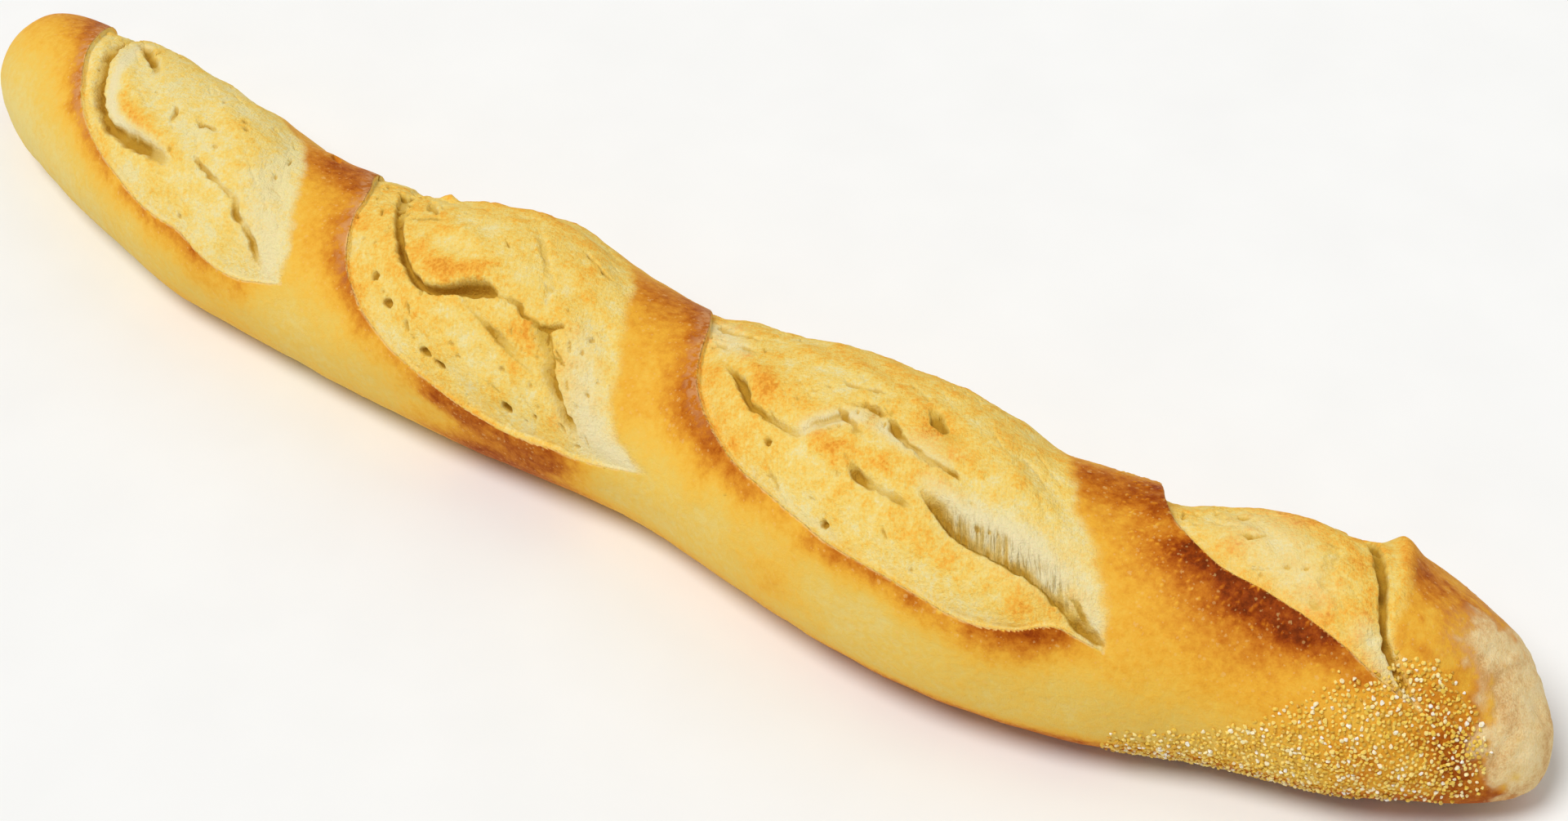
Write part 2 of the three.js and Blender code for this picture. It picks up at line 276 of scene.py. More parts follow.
def near_line(rows, reach, torn=0.0):
    """The grid points within `reach` of a line, as (index, distance, direction, values). The
    distance is above 0 on the ear's side, towards the front, and `direction` points away from
    the line. `torn` frays the line."""
    line = line_through(rows)
    low, high = line[:, :2].min(axis=0) - reach, line[:, :2].max(axis=0) + reach
    near = (wander_x > low[0]) & (wander_x < high[0]) & (wander_s > low[1]) & (wander_s < high[1])
    index = np.nonzero(near)
    px = wander_x[index] + torn * fray_x[index]
    ps = wander_s[index] + torn * fray_s[index]
    best = np.full(len(px), 1e9)
    side = np.ones(len(px))
    away = np.zeros((len(px), 2))
    values = np.zeros((len(px), line.shape[1] - 2))
    for start, end in zip(line[:-1], line[1:]):
        dx, ds = end[:2] - start[:2]
        ux, us = px - start[0], ps - start[1]
        t = np.clip((ux * dx + us * ds) / (dx * dx + ds * ds), 0, 1)
        off_x, off_s = ux - t * dx, us - t * ds
        distance = np.hypot(off_x, off_s)
        closer = distance < best
        best[closer] = distance[closer]
        side[closer] = np.where(dx * us - ds * ux > 0, 1, -1)[closer]
        away[closer] = np.stack([off_x, off_s], -1)[closer]
        values[closer] = start[2:] + t[closer, None] * (end - start)[2:]
    away /= np.maximum(best, 1e-6)[:, None]
    return index, side * best, away, values.T


def inside_outline(outline):
    """True where a grid point lies inside a closed outline of (x, s) points."""
    inside = np.zeros(X.shape, bool)
    for (from_x, from_s), (to_x, to_s) in zip(outline, np.roll(outline, -1, axis=0)):
        if from_s != to_s:
            crosses = (from_s > wander_s) != (to_s > wander_s)
            side_x = from_x + (wander_s - from_s) * (to_x - from_x) / (to_s - from_s)
            inside ^= crosses & (wander_x < side_x)
    return inside


print(f"lines wander by up to {np.abs(wander_x - X).max():.1f} mm")

# %% [markdown]
# ## The four cuts
#
# The baker draws a blade along the loaf at a slant and almost flat. In the oven the cut opens
# into a leaf shape. One side of it is undercut and lifts into a lip, which bakers call the ear,
# and which browns most. The other side stays flat, and the crumb runs smoothly up to it.
#
# Each row of an ear gives x, s, how high the lip stands, how brown the crust below it is, and
# how wide that brown band is. Each row of an edge gives x and s. Both run from the back tip to
# the front tip.

# %% Ears and edges
EARS = [
    [(-206, -34, 0.3, 0.3, 5), (-203, -24, 0.8, 0.6, 5), (-198, -14.3, 1.0, 0.62, 4.4),
     (-191.5, -2, 1.1, 0.6, 4), (-183.6, 7.7, 1.1, 0.5, 3.6), (-175.7, 14.6, 1.0, 0.46, 3.4),
     (-167.2, 19.6, 1.0, 0.42, 3.2), (-156.7, 23, 1.0, 0.4, 3.2), (-145.2, 26.3, 0.9, 0.42, 3.6),
     (-135, 27.6, 0.8, 0.40, 4), (-125.9, 27.8, 1.0, 0.48, 5), (-117.5, 30, 1.1, 0.58, 5.4),
     (-107, 30.6, 1.0, 0.48, 5), (-98, 28, 0.5, 0.2, 4), (-92, 26, 0.1, 0.0, 4)],
    [(-103, -42, 0.3, 0.2, 5), (-100, -30, 0.9, 0.4, 6), (-95.5, -18, 1.0, 0.45, 6),
     (-88.8, -6.8, 1.1, 0.5, 5), (-84.8, 3, 1.1, 0.5, 4.6), (-80.4, 11.5, 1.1, 0.5, 4.4),
     (-73, 20, 1.1, 0.48, 4.2), (-60, 30.1, 1.2, 0.5, 4.2), (-49, 36.3, 1.3, 0.5, 5),
     (-38.4, 39.8, 1.4, 0.58, 6.5), (-28.9, 41.3, 1.5, 0.7, 8.5), (-20, 41.3, 1.6, 0.78, 9.5),
     (-12.3, 40.4, 1.6, 0.78, 9), (-5.5, 38.8, 1.4, 0.74, 7), (-1, 38.6, 0.9, 0.55, 6),
     (3.7, 37.4, 0.5, 0.24, 5), (10.7, 35.3, 0.2, 0.1, 5), (19, 33.4, 0.0, 0.0, 5)],
    [(-5, -44, 0.3, 0.2, 5), (-1, -30, 0.9, 0.4, 6), (7, -14, 1.1, 0.36, 5),
     (12.2, -5.4, 1.3, 0.4, 5), (17.6, 6, 1.4, 0.46, 5), (24.4, 13.8, 1.5, 0.56, 5.2),
     (32.2, 19.7, 1.5, 0.56, 5), (43.5, 25.9, 1.5, 0.55, 4.8), (55.3, 29.9, 1.5, 0.56, 4.6),
     (66, 32.5, 1.5, 0.58, 4.2), (78.2, 34.4, 1.4, 0.58, 4), (91.9, 33.8, 1.4, 0.58, 4),
     (104.5, 34.3, 1.5, 0.62, 4.2), (113.5, 33.7, 1.8, 0.7, 4.8), (120, 31.8, 1.9, 0.76, 5.4),
     (126.5, 28.4, 1.7, 0.74, 5.4), (131, 28, 1.1, 0.56, 4.5), (138.8, 29.1, 0.2, 0.2, 4)],
    [(121, -44, 0.8, 0.3, 6), (122.5, -30, 2.2, 0.3, 7), (129, -16, 3.0, 0.36, 7),
     (135.2, -6.8, 2.8, 0.46, 5.6), (144, 1.4, 2.6, 0.6, 4.8), (152.8, 7.6, 2.6, 0.76, 4.6),
     (163.8, 12.0, 2.4, 0.84, 4.8), (173.8, 14.8, 2.0, 0.84, 5), (182.3, 17.4, 1.4, 0.6, 4),
     (190, 19.4, 0.6, 0.2, 3.4), (197, 19.4, 0.2, 0.0, 3), (202, 18.5, 0.0, 0.0, 3)],
]
BROWNEST_AT = [(0, 0), (0, 0), (0, 0), (1.4, 1.0)]      # mm below each lip, at its back and front tips
EDGES = [
    [(-206, -34), (-180, -39), (-150, -32), (-125, -20), (-112, -10.4), (-104.3, 0.1), (-99, 8.8),
     (-94.7, 16.4), (-92, 26)],
    [(-103, -42), (-75, -43), (-45, -35), (-24, -25), (-13, -13), (-8.5, -3.5), (-2, 7.2),
     (3.2, 17.8), (5.6, 23.6), (9.5, 28), (13.5, 30.6), (19, 33.4)],
    [(-5, -44), (30, -46), (70, -40), (94, -31), (104, -23), (111.8, -10.8), (118, -2.2),
     (126.8, 7), (132.6, 14.6), (136.8, 22.6), (138.8, 29.1)],
    [(121, -44), (150, -43), (168, -36), (179, -26), (184, -14), (187.5, -5), (189.4, 3),
     (191.8, 9), (194.8, 13.6), (198.6, 16.6), (202, 18.5)],
]

# %% [markdown]
# ## Inside or outside a cut
#
# For each cut, an ear and an edge together close an outline. Every grid point is measured against
# it: how far inside it lies, how far from the ear, and how far from the edge. Measuring once and
# keeping the answers is quicker than asking again for the shape and for the browning.

# %% Measure the cuts
FAR = 40.0                          # mm, further than anything that a cut does to its surroundings
SOFT_BLEND = 5.0                    # mm over which a cut's rim turns from sharp to soft
opened = np.full(X.shape, -FAR)     # mm inside a cut's outline, less than 0 on the crust
soft = np.zeros(X.shape)            # 1 by the smooth edge of a cut, 0 by its ear
cuts = []

for ear_rows, edge_rows in zip(EARS, EDGES):
    outline = np.concatenate([line_through(ear_rows)[:, :2],
                              line_through(edge_rows)[::-1][1:-1]])
    is_open = inside_outline(outline)
    to_edge, to_ear = np.full(X.shape, FAR), np.full(X.shape, FAR)
    index, distance, _, _ = near_line(edge_rows, FAR)
    to_edge[index] = np.abs(distance)
    index, distance, away, ear_values = near_line(ear_rows, FAR)
    to_ear[index] = np.abs(distance)
    rim = np.minimum(to_ear, to_edge)
    inside_cut = np.where(is_open, rim, -rim)
    soft = np.where(inside_cut > opened, smooth((to_ear - to_edge) / SOFT_BLEND + 0.5), soft)
    opened = np.maximum(opened, inside_cut)
    cuts.append((is_open, to_edge, to_ear, index, away, ear_values))
print(f"cuts: {len(cuts)}, and {np.mean(opened > 0):.0%} of the points are crumb")

# %% [markdown]
# ## Leaves of crumb
#
# Inside a cut the crumb starts a little below the crust, swells up towards the middle of the
# leaf, and runs flush into the edge opposite the ear. The ear itself is a long ramp of crust
# that ends in a short drop. Near the drop the points are also pushed sideways, over the crumb,
# so that the lip casts a thin shadow.

# %% Shape the leaves and lips
LEAF_SINK = 0.1                     # how far below the crust the crumb starts
LEAF_RISE = 2.0                     # how far it swells up in the middle
LEAF_SWELL_WIDTH = 12.0
EDGE_FLUSH = 8.0                    # the crumb comes flush over this last stretch to the edge
EDGE_SHARE = 0.8                    # a leaf is highest a little nearer to its ear
RAMP_WIDTH, RAMP_POWER = 6.0, 1.4   # the ramp of crust up to an ear, and how suddenly it starts
DROP_WIDTH = 0.9                    # the drop from an ear to the crumb
OVERHANG = 0.7                      # sideways push, in mm for each mm of an ear's height
HIGHEST_HUNG = 1.5                  # an ear higher than this hangs over no further
OVERHANG_REACH = 1.3

height = np.zeros(X.shape)          # how far each point is lifted
slide_x = np.zeros(X.shape)         # and how far it is pushed along x
slide_s = np.zeros(X.shape)         # and round the section
for is_open, to_edge, to_ear, index, away, (rise, _, _) in cuts:
    leaf = -LEAF_SINK * smooth(to_ear / DROP_WIDTH) * smooth(to_edge / EDGE_FLUSH)
    leaf += LEAF_RISE * smooth(np.minimum(to_ear, to_edge * EDGE_SHARE) / LEAF_SWELL_WIDTH)
    height += np.where(is_open, leaf, 0)

    crust_side, near = ~is_open[index], to_ear[index]
    ramp = np.exp(-(near / RAMP_WIDTH) ** RAMP_POWER)
    drop = 1 - smooth(near / DROP_WIDTH)
    height[index] += rise * np.where(crust_side, ramp, drop)
    over_crumb = np.where(crust_side, -1.0, 1.0)[:, None] * away
    push = OVERHANG * np.minimum(rise, HIGHEST_HUNG) * np.exp(-(near / OVERHANG_REACH) ** 2)
    slide_x[index] += push * over_crumb[:, 0]
    slide_s[index] += push * over_crumb[:, 1]
print(f"leaves and lips: up to {height.max():.1f} mm high")

# %% [markdown]
# ## Browned ears
#
# An ear is thin and stands up into the heat, so it browns more than anything else. The brown
# is a band below the lip, with a dark core and a fainter skirt. Towards the back of the loaf,
# where the skin was stretched thinnest, the very edge of the lip stays rosy.

# %% Brown the ears
CORE_SHARE, SKIRT_SHARE, SKIRT_WIDTH = 0.66, 0.34, 2.4
CORE_POWER = 1.7
THIN_SKIN_FROM, THIN_SKIN_FADE = 24, 14         # mm of s where the skin starts to be thin
LOWEST_EAR = 0.15                               # an ear lower than this has died away
bake = np.zeros(X.shape)            # browning of the crust near the ears
rosy = np.zeros(X.shape)            # the pinkish rim where an ear's skin stretched thin
lip = np.full(X.shape, FAR)         # mm from the nearest ear, whichever side

for cut, ear_rows, (back_gap, front_gap) in zip(cuts, EARS, BROWNEST_AT):
    is_open, _, to_ear, index, _, (rise, brown, band) = cut
    crust_side, near = ~is_open[index], to_ear[index]
    patchy = 1 + 0.45 * lumps_8[index] + 0.3 * lumps_3[index]
    along = smooth((X[index] - ear_rows[0][0]) / (ear_rows[-1][0] - ear_rows[0][0]))
    off_band = np.abs(near - back_gap - (front_gap - back_gap) * along) / band
    band_shape = CORE_SHARE * np.exp(-off_band ** CORE_POWER)
    band_shape += SKIRT_SHARE * np.exp(-(off_band / SKIRT_WIDTH) ** 2)
    bake[index] = np.maximum(bake[index], brown * patchy * band_shape * crust_side)
    thin_skin = smooth((THIN_SKIN_FROM - S[index]) / THIN_SKIN_FADE) * smooth(1.6 - near / 1.8)
    rosy[index] = np.maximum(rosy[index], thin_skin * crust_side * (back_gap == 0))
    nearest = (near < lip[index]) | (rise <= LOWEST_EAR)
    lip[index] = np.where(nearest, near, lip[index])
print(f"ears: browned by up to {bake.max():.2f}")

# %% [markdown]
# ## Tears in the crumb
#
# Where the crumb stretched most it tore. A tear is a line with a depth and two widths: how far
# its wall reaches on the ear's side and on the far side. A narrow width is a cliff, and a wide
# one a slope of drawn-out fibres. Each row gives x, s, depth, ear-side width, far-side width.

# %% Tears
TEARS = [
    # the first cut: a wide gap under a tongue of crumb, a pit behind it, then a dotted crease
    [(-195, -34, 1, 3, 2), (-188.5, -20, 2.2, 4.6, 1.8), (-184, -8, 3.2, 5.6, 1.5),
     (-179.5, -0.4, 4.0, 5.8, 1.3), (-175.5, 4.9, 4.6, 5.2, 1.2), (-171.8, 8.9, 5.0, 4.6, 1.2),
     (-168, 12, 5.0, 3.4, 1.4), (-164, 14.2, 4.6, 2.2, 2), (-160, 15, 4.0, 1.8, 2.4),
     (-155, 15, 3.4, 2, 3), (-149, 14.6, 2.6, 2, 3.2), (-143, 14.6, 1.6, 2, 3),
     (-137, 15, 0.5, 2, 3)],
    [(-180.5, -14, 1.0, 2, 2), (-176.5, -11.5, 3.0, 2, 2.4), (-172, -9.4, 3.4, 2, 2.2),
     (-167.5, -6.8, 2.2, 1.8, 2), (-164, -5, 0.6, 1.5, 1.5)],
    [(-131, 9.5, 0.5, 0.8, 0.8), (-129.2, 10.3, 2.0, 1.2, 1.1), (-125.8, 11.4, 1.5, 0.8, 1.2),
     (-121.4, 12, 0.6, 0.7, 1.4), (-118.3, 13, 1.0, 0.7, 1.8), (-114, 13.8, 0.9, 0.7, 2),
     (-112.4, 15.9, 1.6, 0.9, 1.6), (-110.4, 17, 1.6, 0.9, 1.4), (-108.4, 17.6, 0.8, 0.7, 2),
     (-105.8, 19.5, 1.4, 0.8, 1.8), (-101.8, 22.8, 1.2, 0.8, 1.8), (-98.5, 25.2, 0.4, 0.7, 1.5)],
    [(-149, 0.5, 0.4, 0.7, 0.8), (-147, 2.9, 1.2, 0.8, 0.9), (-145, 6, 0.4, 0.7, 0.8)],
    [(-140, 1, 0.6, 0.9, 1), (-137.6, 1.7, 1.6, 1.1, 1.2), (-135, 0.9, 1.0, 1, 1),
     (-132.5, 0.6, 0.3, 0.8, 0.8)],
    # the second cut: a deep crack with a hollow at its end, a thin crack, a pit and a valley to the tip
    [(-88, -30, 0.5, 2, 3), (-82, -18, 0.9, 2, 3.4), (-78.3, -8.5, 1.4, 1.4, 3.2),
     (-74.5, -2.6, 2.2, 1.0, 2.6), (-70, 2.8, 3.4, 1.0, 1.9), (-65.7, 7.8, 4.2, 0.9, 1.6),
     (-61, 12.2, 4.4, 0.9, 1.3), (-56, 15.6, 4.0, 0.9, 1.3), (-50.5, 17.6, 3.8, 1.0, 1.6),
     (-46.5, 16.4, 4.4, 1.5, 2), (-43, 14.6, 5.0, 2.3, 2.8), (-40, 13.2, 5.2, 2.8, 3),
     (-37.4, 12.4, 4.4, 2.4, 2.4), (-35.4, 12.2, 2.0, 1.4, 1.4)],
    [(-35.5, 12.2, 1.2, 0.6, 0.7), (-31, 12, 1.3, 0.55, 0.65), (-28.4, 12.5, 2.4, 0.8, 0.9),
     (-26, 13.4, 2.4, 0.8, 0.9), (-24, 13.9, 1.2, 0.55, 0.65), (-21.5, 14, 1.3, 0.6, 0.7)],
    [(-21.6, 14.4, 1.2, 1, 0.9), (-19, 13.2, 3.2, 1.5, 1.2), (-16.8, 11.8, 2.6, 1.3, 1)],
    [(-18.8, 14.5, 1.6, 4, 0.8), (-16, 16.8, 1.9, 4.6, 0.8), (-13.6, 19.4, 2.1, 4.6, 0.8),
     (-12, 22, 2.3, 4.6, 0.8), (-9.6, 24.4, 2.4, 4, 0.8), (-7.3, 26.6, 2.2, 3.4, 0.9),
     (-5.3, 28.6, 1.7, 3, 1), (-2.9, 30.6, 1.1, 2.4, 1.2), (-1.5, 33, 0.5, 2, 1.5)],
    [(-11.5, 22.5, 0.8, 0.6, 0.6), (-9.6, 24.6, 2.9, 1.0, 0.8), (-7.6, 26.6, 2.8, 0.9, 0.8),
     (-6.6, 27.6, 1.0, 0.6, 0.6), (-5.2, 29, 2.2, 0.8, 0.7), (-3.8, 30.2, 0.8, 0.6, 0.6)],
    [(-40.5, 17, 0.5, 1, 1.5), (-36.5, 18.6, 0.8, 0.9, 1.7), (-33, 19.9, 1.0, 0.7, 1.8),
     (-31.3, 20.5, 1.6, 0.7, 1), (-27.5, 21.7, 1.0, 0.6, 2.6), (-23.1, 22.9, 1.0, 0.6, 2.8),
     (-19, 23.6, 0.8, 0.6, 2.6), (-14.5, 25, 0.3, 1, 2)],
    [(-38.5, -10, 0.2, 1.6, 1.6), (-34, -5, 0.9, 1.6, 1.8), (-30.5, -1, 0.8, 1.5, 1.8),
     (-26.5, 3, 0.4, 1.3, 2), (-23, 8, 0.5, 1.3, 1.8)],
    [(-26.8, -11, 0.4, 0.7, 0.8), (-24.6, -9.9, 1.3, 0.7, 0.9), (-22.6, -9.2, 0.4, 0.6, 0.7),
     (-20.4, -8.4, 0.6, 0.6, 0.8), (-18.4, -7.6, 1.6, 0.8, 1), (-16.4, -7.2, 0.5, 0.6, 0.7)],
    [(-71, -0.8, 0.5, 0.6, 0.8), (-67.5, -2, 1.7, 0.8, 1), (-64, -3.2, 1.4, 0.7, 0.9),
     (-61.5, -4, 0.3, 0.6, 0.7)],
    [(-71, -11, 1.0, 1.2, 1.2), (-68, -8, 2.2, 1.3, 1.5), (-65, -5.6, 0.8, 1, 1)],
    [(-82, -13, 0.8, 1, 1), (-79.6, -10.8, 1.8, 1, 1.1), (-77.5, -9.2, 0.6, 0.8, 0.9)],
    # the third cut: a crack, a torn flap, pits, and the long tear with its slope of fibres
    [(22.5, 1, 0.4, 0.7, 0.8), (27.5, 3.6, 1.6, 0.8, 1), (30.7, 5.5, 2.8, 1, 1.3),
     (33.5, 7.3, 3.6, 1.2, 1.5), (36.2, 9.4, 3.4, 1.1, 1.4), (38.5, 10.9, 2.6, 0.9, 1.2),
     (41.2, 11.9, 2.2, 0.8, 1.1), (44.4, 12.7, 1.6, 0.7, 1.2), (47.5, 13.4, 1.0, 0.6, 1.6),
     (52.7, 14.3, 0.9, 0.6, 2.2), (54.8, 13.6, 0.5, 0.7, 2)],
    [(54.5, 13, 0.5, 2.6, 0.7), (57, 9.5, 0.9, 3, 0.7), (60, 6.4, 1.1, 2.6, 0.7),
     (62, 4.5, 0.5, 2, 0.7)],
    [(59.4, 4.2, 0.8, 1, 1), (61.7, 5.5, 2.2, 1.3, 1.3), (64, 6.7, 1.4, 1, 1),
     (66, 7.7, 1.9, 1.2, 1.1), (68.5, 8.7, 0.5, 0.9, 0.9)],
    [(71, 1.4, 0.8, 1, 1), (73.3, 3.1, 2.8, 1.6, 1.5), (75.4, 4.4, 1.4, 1.6, 1),
     (79, 5, 1.0, 1.8, 0.9), (84.3, 6.1, 0.9, 1.8, 0.8), (88.5, 6, 1.3, 1.2, 0.8),
     (90.9, 5.6, 1.8, 1, 0.9), (92.8, 5.8, 0.4, 0.7, 0.7)],
    [(59.5, 1.8, 0.4, 0.9, 1.8), (63.2, 0.8, 1.4, 0.9, 2.4), (66, 0.8, 2.0, 1, 2.2),
     (69, 1.8, 0.6, 0.8, 1.2)],
    [(77.2, -7, 1.4, 2.1, 2), (79.2, -4.8, 2.8, 2.5, 2.3), (81.6, -3.4, 3.2, 2.1, 2.1),
     (83.6, -2.6, 0.9, 1.2, 1.4)],
    [(70.8, 16.4, 1.2, 1, 1.3), (72.6, 17.8, 3.4, 1.2, 2), (75, 18.4, 2.4, 1.0, 2.4),
     (77.5, 18.1, 1.2, 0.9, 2.4), (80.5, 17.6, 0.8, 0.8, 2.4), (84.6, 17.7, 1.2, 0.9, 1.5),
     (87, 17.7, 0.5, 0.7, 1)],
    [(88.5, 14.2, 1.0, 0.7, 2.5), (91.5, 15.3, 2.2, 0.8, 4.5), (94, 16.3, 3.0, 0.8, 6),
     (97.2, 17.6, 2.8, 0.8, 7), (102, 18.3, 2.1, 0.7, 8), (106.6, 18.6, 2.1, 0.7, 8.5),
     (110.3, 18.7, 2.6, 0.7, 8.5), (114, 19.1, 2.6, 0.7, 8), (117.3, 19.5, 2.6, 0.7, 7.5),
     (121.4, 20.4, 2.2, 0.7, 7), (124.5, 21.6, 2.4, 0.8, 6.2), (127.6, 23.4, 2.4, 0.8, 5.4),
     (131.6, 25.5, 2.4, 0.9, 4.2), (136.5, 27.6, 1.6, 0.9, 2.5)],
    [(125, 18.6, 0.5, 0.6, 0.6), (128.5, 20.3, 1.6, 0.7, 0.8), (132, 22.9, 1.6, 0.7, 0.8),
     (134.5, 25, 0.6, 0.6, 0.6)],
    [(12, -13, 0.8, 1.5, 2), (16, -11.5, 1.8, 1.4, 1.8), (21, -10.8, 1.4, 1.3, 1.6),
     (25, -10.4, 0.4, 1, 1.2)],
    [(23, -5.6, 0.4, 0.8, 1), (25.5, -4.6, 1.5, 0.9, 1), (28, -4, 0.4, 0.8, 1)],
    [(17.5, -5, 0.4, 1, 1.2), (20, -4, 1.0, 1, 1.2), (22, -3.2, 0.3, 1, 1)],
    [(49.5, 22, 0.3, 0.5, 0.5), (53.2, 24.6, 0.7, 0.5, 0.5), (56, 26.8, 0.3, 0.5, 0.5)],
    [(54, -4.6, 0.3, 0.7, 0.8), (57.2, -3.3, 1.1, 0.7, 1), (60, -4.4, 0.4, 0.6, 0.8),
     (62.3, -4.9, 1.1, 0.7, 1), (64.5, -5.2, 0.3, 0.6, 0.7)],
    # the fourth cut: one deep crack beside the cap
    [(160, -38, 0.8, 2.4, 2), (166, -30, 1.6, 2.8, 2), (170.5, -23, 2.6, 3.2, 1.8),
     (176, -14, 3.6, 2.8, 1.6), (180.3, -7, 3.8, 2.0, 1.4), (183.8, -0.7, 3.4, 1.5, 1.2),
     (186.5, 4.6, 3.0, 1.2, 1.1), (188.7, 8.7, 2.8, 1.1, 1.1), (191, 12.3, 2.6, 1.1, 1.1),
     (193.9, 14.7, 2.4, 1.3, 1.2), (196.5, 16.4, 2.0, 1.6, 1.3), (200, 17.9, 1.0, 1.4, 1.2)],
    [(151.5, -5.6, 0.6, 1, 1), (153.8, -4.6, 1.7, 1.3, 1.2), (155.9, -5, 0.8, 0.9, 0.9)],
    [(143.5, -10.4, 0.4, 0.8, 0.8), (145.7, -9.6, 1.1, 0.9, 0.9), (147.5, -9.4, 0.4, 0.8, 0.8)],
    [(171, 9, 0.4, 1.4, 1.6), (174, 9.7, 1.3, 1.6, 1.8), (177, 10.8, 0.4, 1.2, 1.4)],
    [(138, -22, 0.3, 2, 3), (146, -15, 0.5, 1.6, 2.4), (156, -6, 0.5, 1.5, 2),
     (161, 0, 0.3, 1.4, 1.8)],
    [(171, -4, 0.3, 1.6, 2), (173, 3, 0.7, 1.6, 2), (178, 9, 0.6, 1.6, 2),
     (183, 14, 0.3, 1.4, 1.8)],
]
print(f"tears: {len(TEARS)}, drawn through {sum(map(len, TEARS))} points")

# %% [markdown]
# A wall is a profile from 0 at the rim to 1 at the bottom. Narrow tears get steep walls with a flat
# floor, and wide ones a gentle slope. The depth varies every few millimetres and the rims are
# ragged, because dough never tears evenly. Four numbers are kept for the colours: how deep each
# point is sunk, how much painted shade it gets, how freshly torn it is, and where strands were
# drawn out. The painted shade darkens deep and narrow places, where shade falls, and is kept off
# wide slopes that face the light, down to their foot.

# %% Sink the tears
TEAR_REACH = 10                     # mm to each side of a tear's line
WIDE = 2.2                          # a tear wider than this opened slowly, and its rim is smoother
FRAY_SHARPLY, FRAY_GENTLY = 1.0, 0.45
SHALLOWEST, DEEPEST = 0.5, 1.15     # shares of a tear's depth that its unevenness may leave
FINEST_WALL = 0.45                  # mm, about one step of the grid
FLOOR = 1.45                        # more than 1 leaves a flat floor between the walls of a tear
GENTLE_WALL, GENTLE_POWER = 3.5, 0.8        # from this width on, a wall is a slope with no floor
SLOPE_FROM, SLOPE_FULL = 4, 3       # mm: from this width, and this much more, it is drawn-out crumb
DARKEST_DEPTH = 4                   # mm: deeper than this, the painted shade gets no darker
CREASE_DEPTH = 2.6                  # mm: a tear that is narrow and less deep than this is a crease
sunk = np.zeros(X.shape)            # depth below the crumb round about
painted_shade = np.zeros(X.shape)           # painted shade: darker the deeper a tear is, and more where it is narrow
fresh = np.zeros(X.shape)           # how freshly torn and pale the crumb is
drawn = np.zeros(X.shape)           # where the crumb was drawn out into strands
ragged = 0.6 * lattice_noise(plain, 1.6, 41)
uneven = 0.8 + 0.45 * lattice_noise(plain, 4, 43)

for rows in TEARS:
    fray = FRAY_SHARPLY if max(max(row[3:]) for row in rows) < WIDE else FRAY_GENTLY
    index, distance, _, (depth, ear_width, far_width) = near_line(rows, TEAR_REACH, torn=fray)
    depth = depth * np.clip(uneven[index], SHALLOWEST, DEEPEST)
    on_ear_side = distance > 0
    width = np.where(on_ear_side, ear_width, far_width)
    crease = smooth(1.8 - width) * (depth < CREASE_DEPTH)
    width = np.maximum(width + np.minimum(width, 1.0) * ragged[index], FINEST_WALL)
    wall = 1 - np.clip(np.abs(distance) / width, 0, 1)
    wall = np.where(width > GENTLE_WALL, smooth(wall) ** GENTLE_POWER, smooth(wall * FLOOR))
    sunk[index] = np.maximum(sunk[index], depth * wall)
    slope = smooth((width - SLOPE_FROM) / SLOPE_FULL) * ~on_ear_side
    fresh[index] = np.maximum(fresh[index], slope * smooth(1.6 * wall))
    drawn[index] = np.maximum(drawn[index], slope * smooth(1.6 * wall))
    painted_shade_kept = 1 - 0.8 * slope * smooth((0.99 - wall) / 0.1)     # painted shade is kept off a slope of strands, which faces the light, down to its foot
    tear_shade = np.minimum(depth, DARKEST_DEPTH) * wall * (1 + 0.9 * crease) * painted_shade_kept
    painted_shade[index] = np.maximum(painted_shade[index], tear_shade)
sunk = np.where(opened > -1, sunk, 0)
painted_shade = np.where(opened > -1, painted_shade, 0)
height -= sunk
print(f"tears: deepest {sunk.max():.1f} mm")

# %% [markdown]
# ## Ridges
#
# A ridge is the opposite of a tear: a fold of crumb that stood nearest the heat, so it is also
# toasted. Each row gives x, s, height, ear-side width, far-side width, toasting.

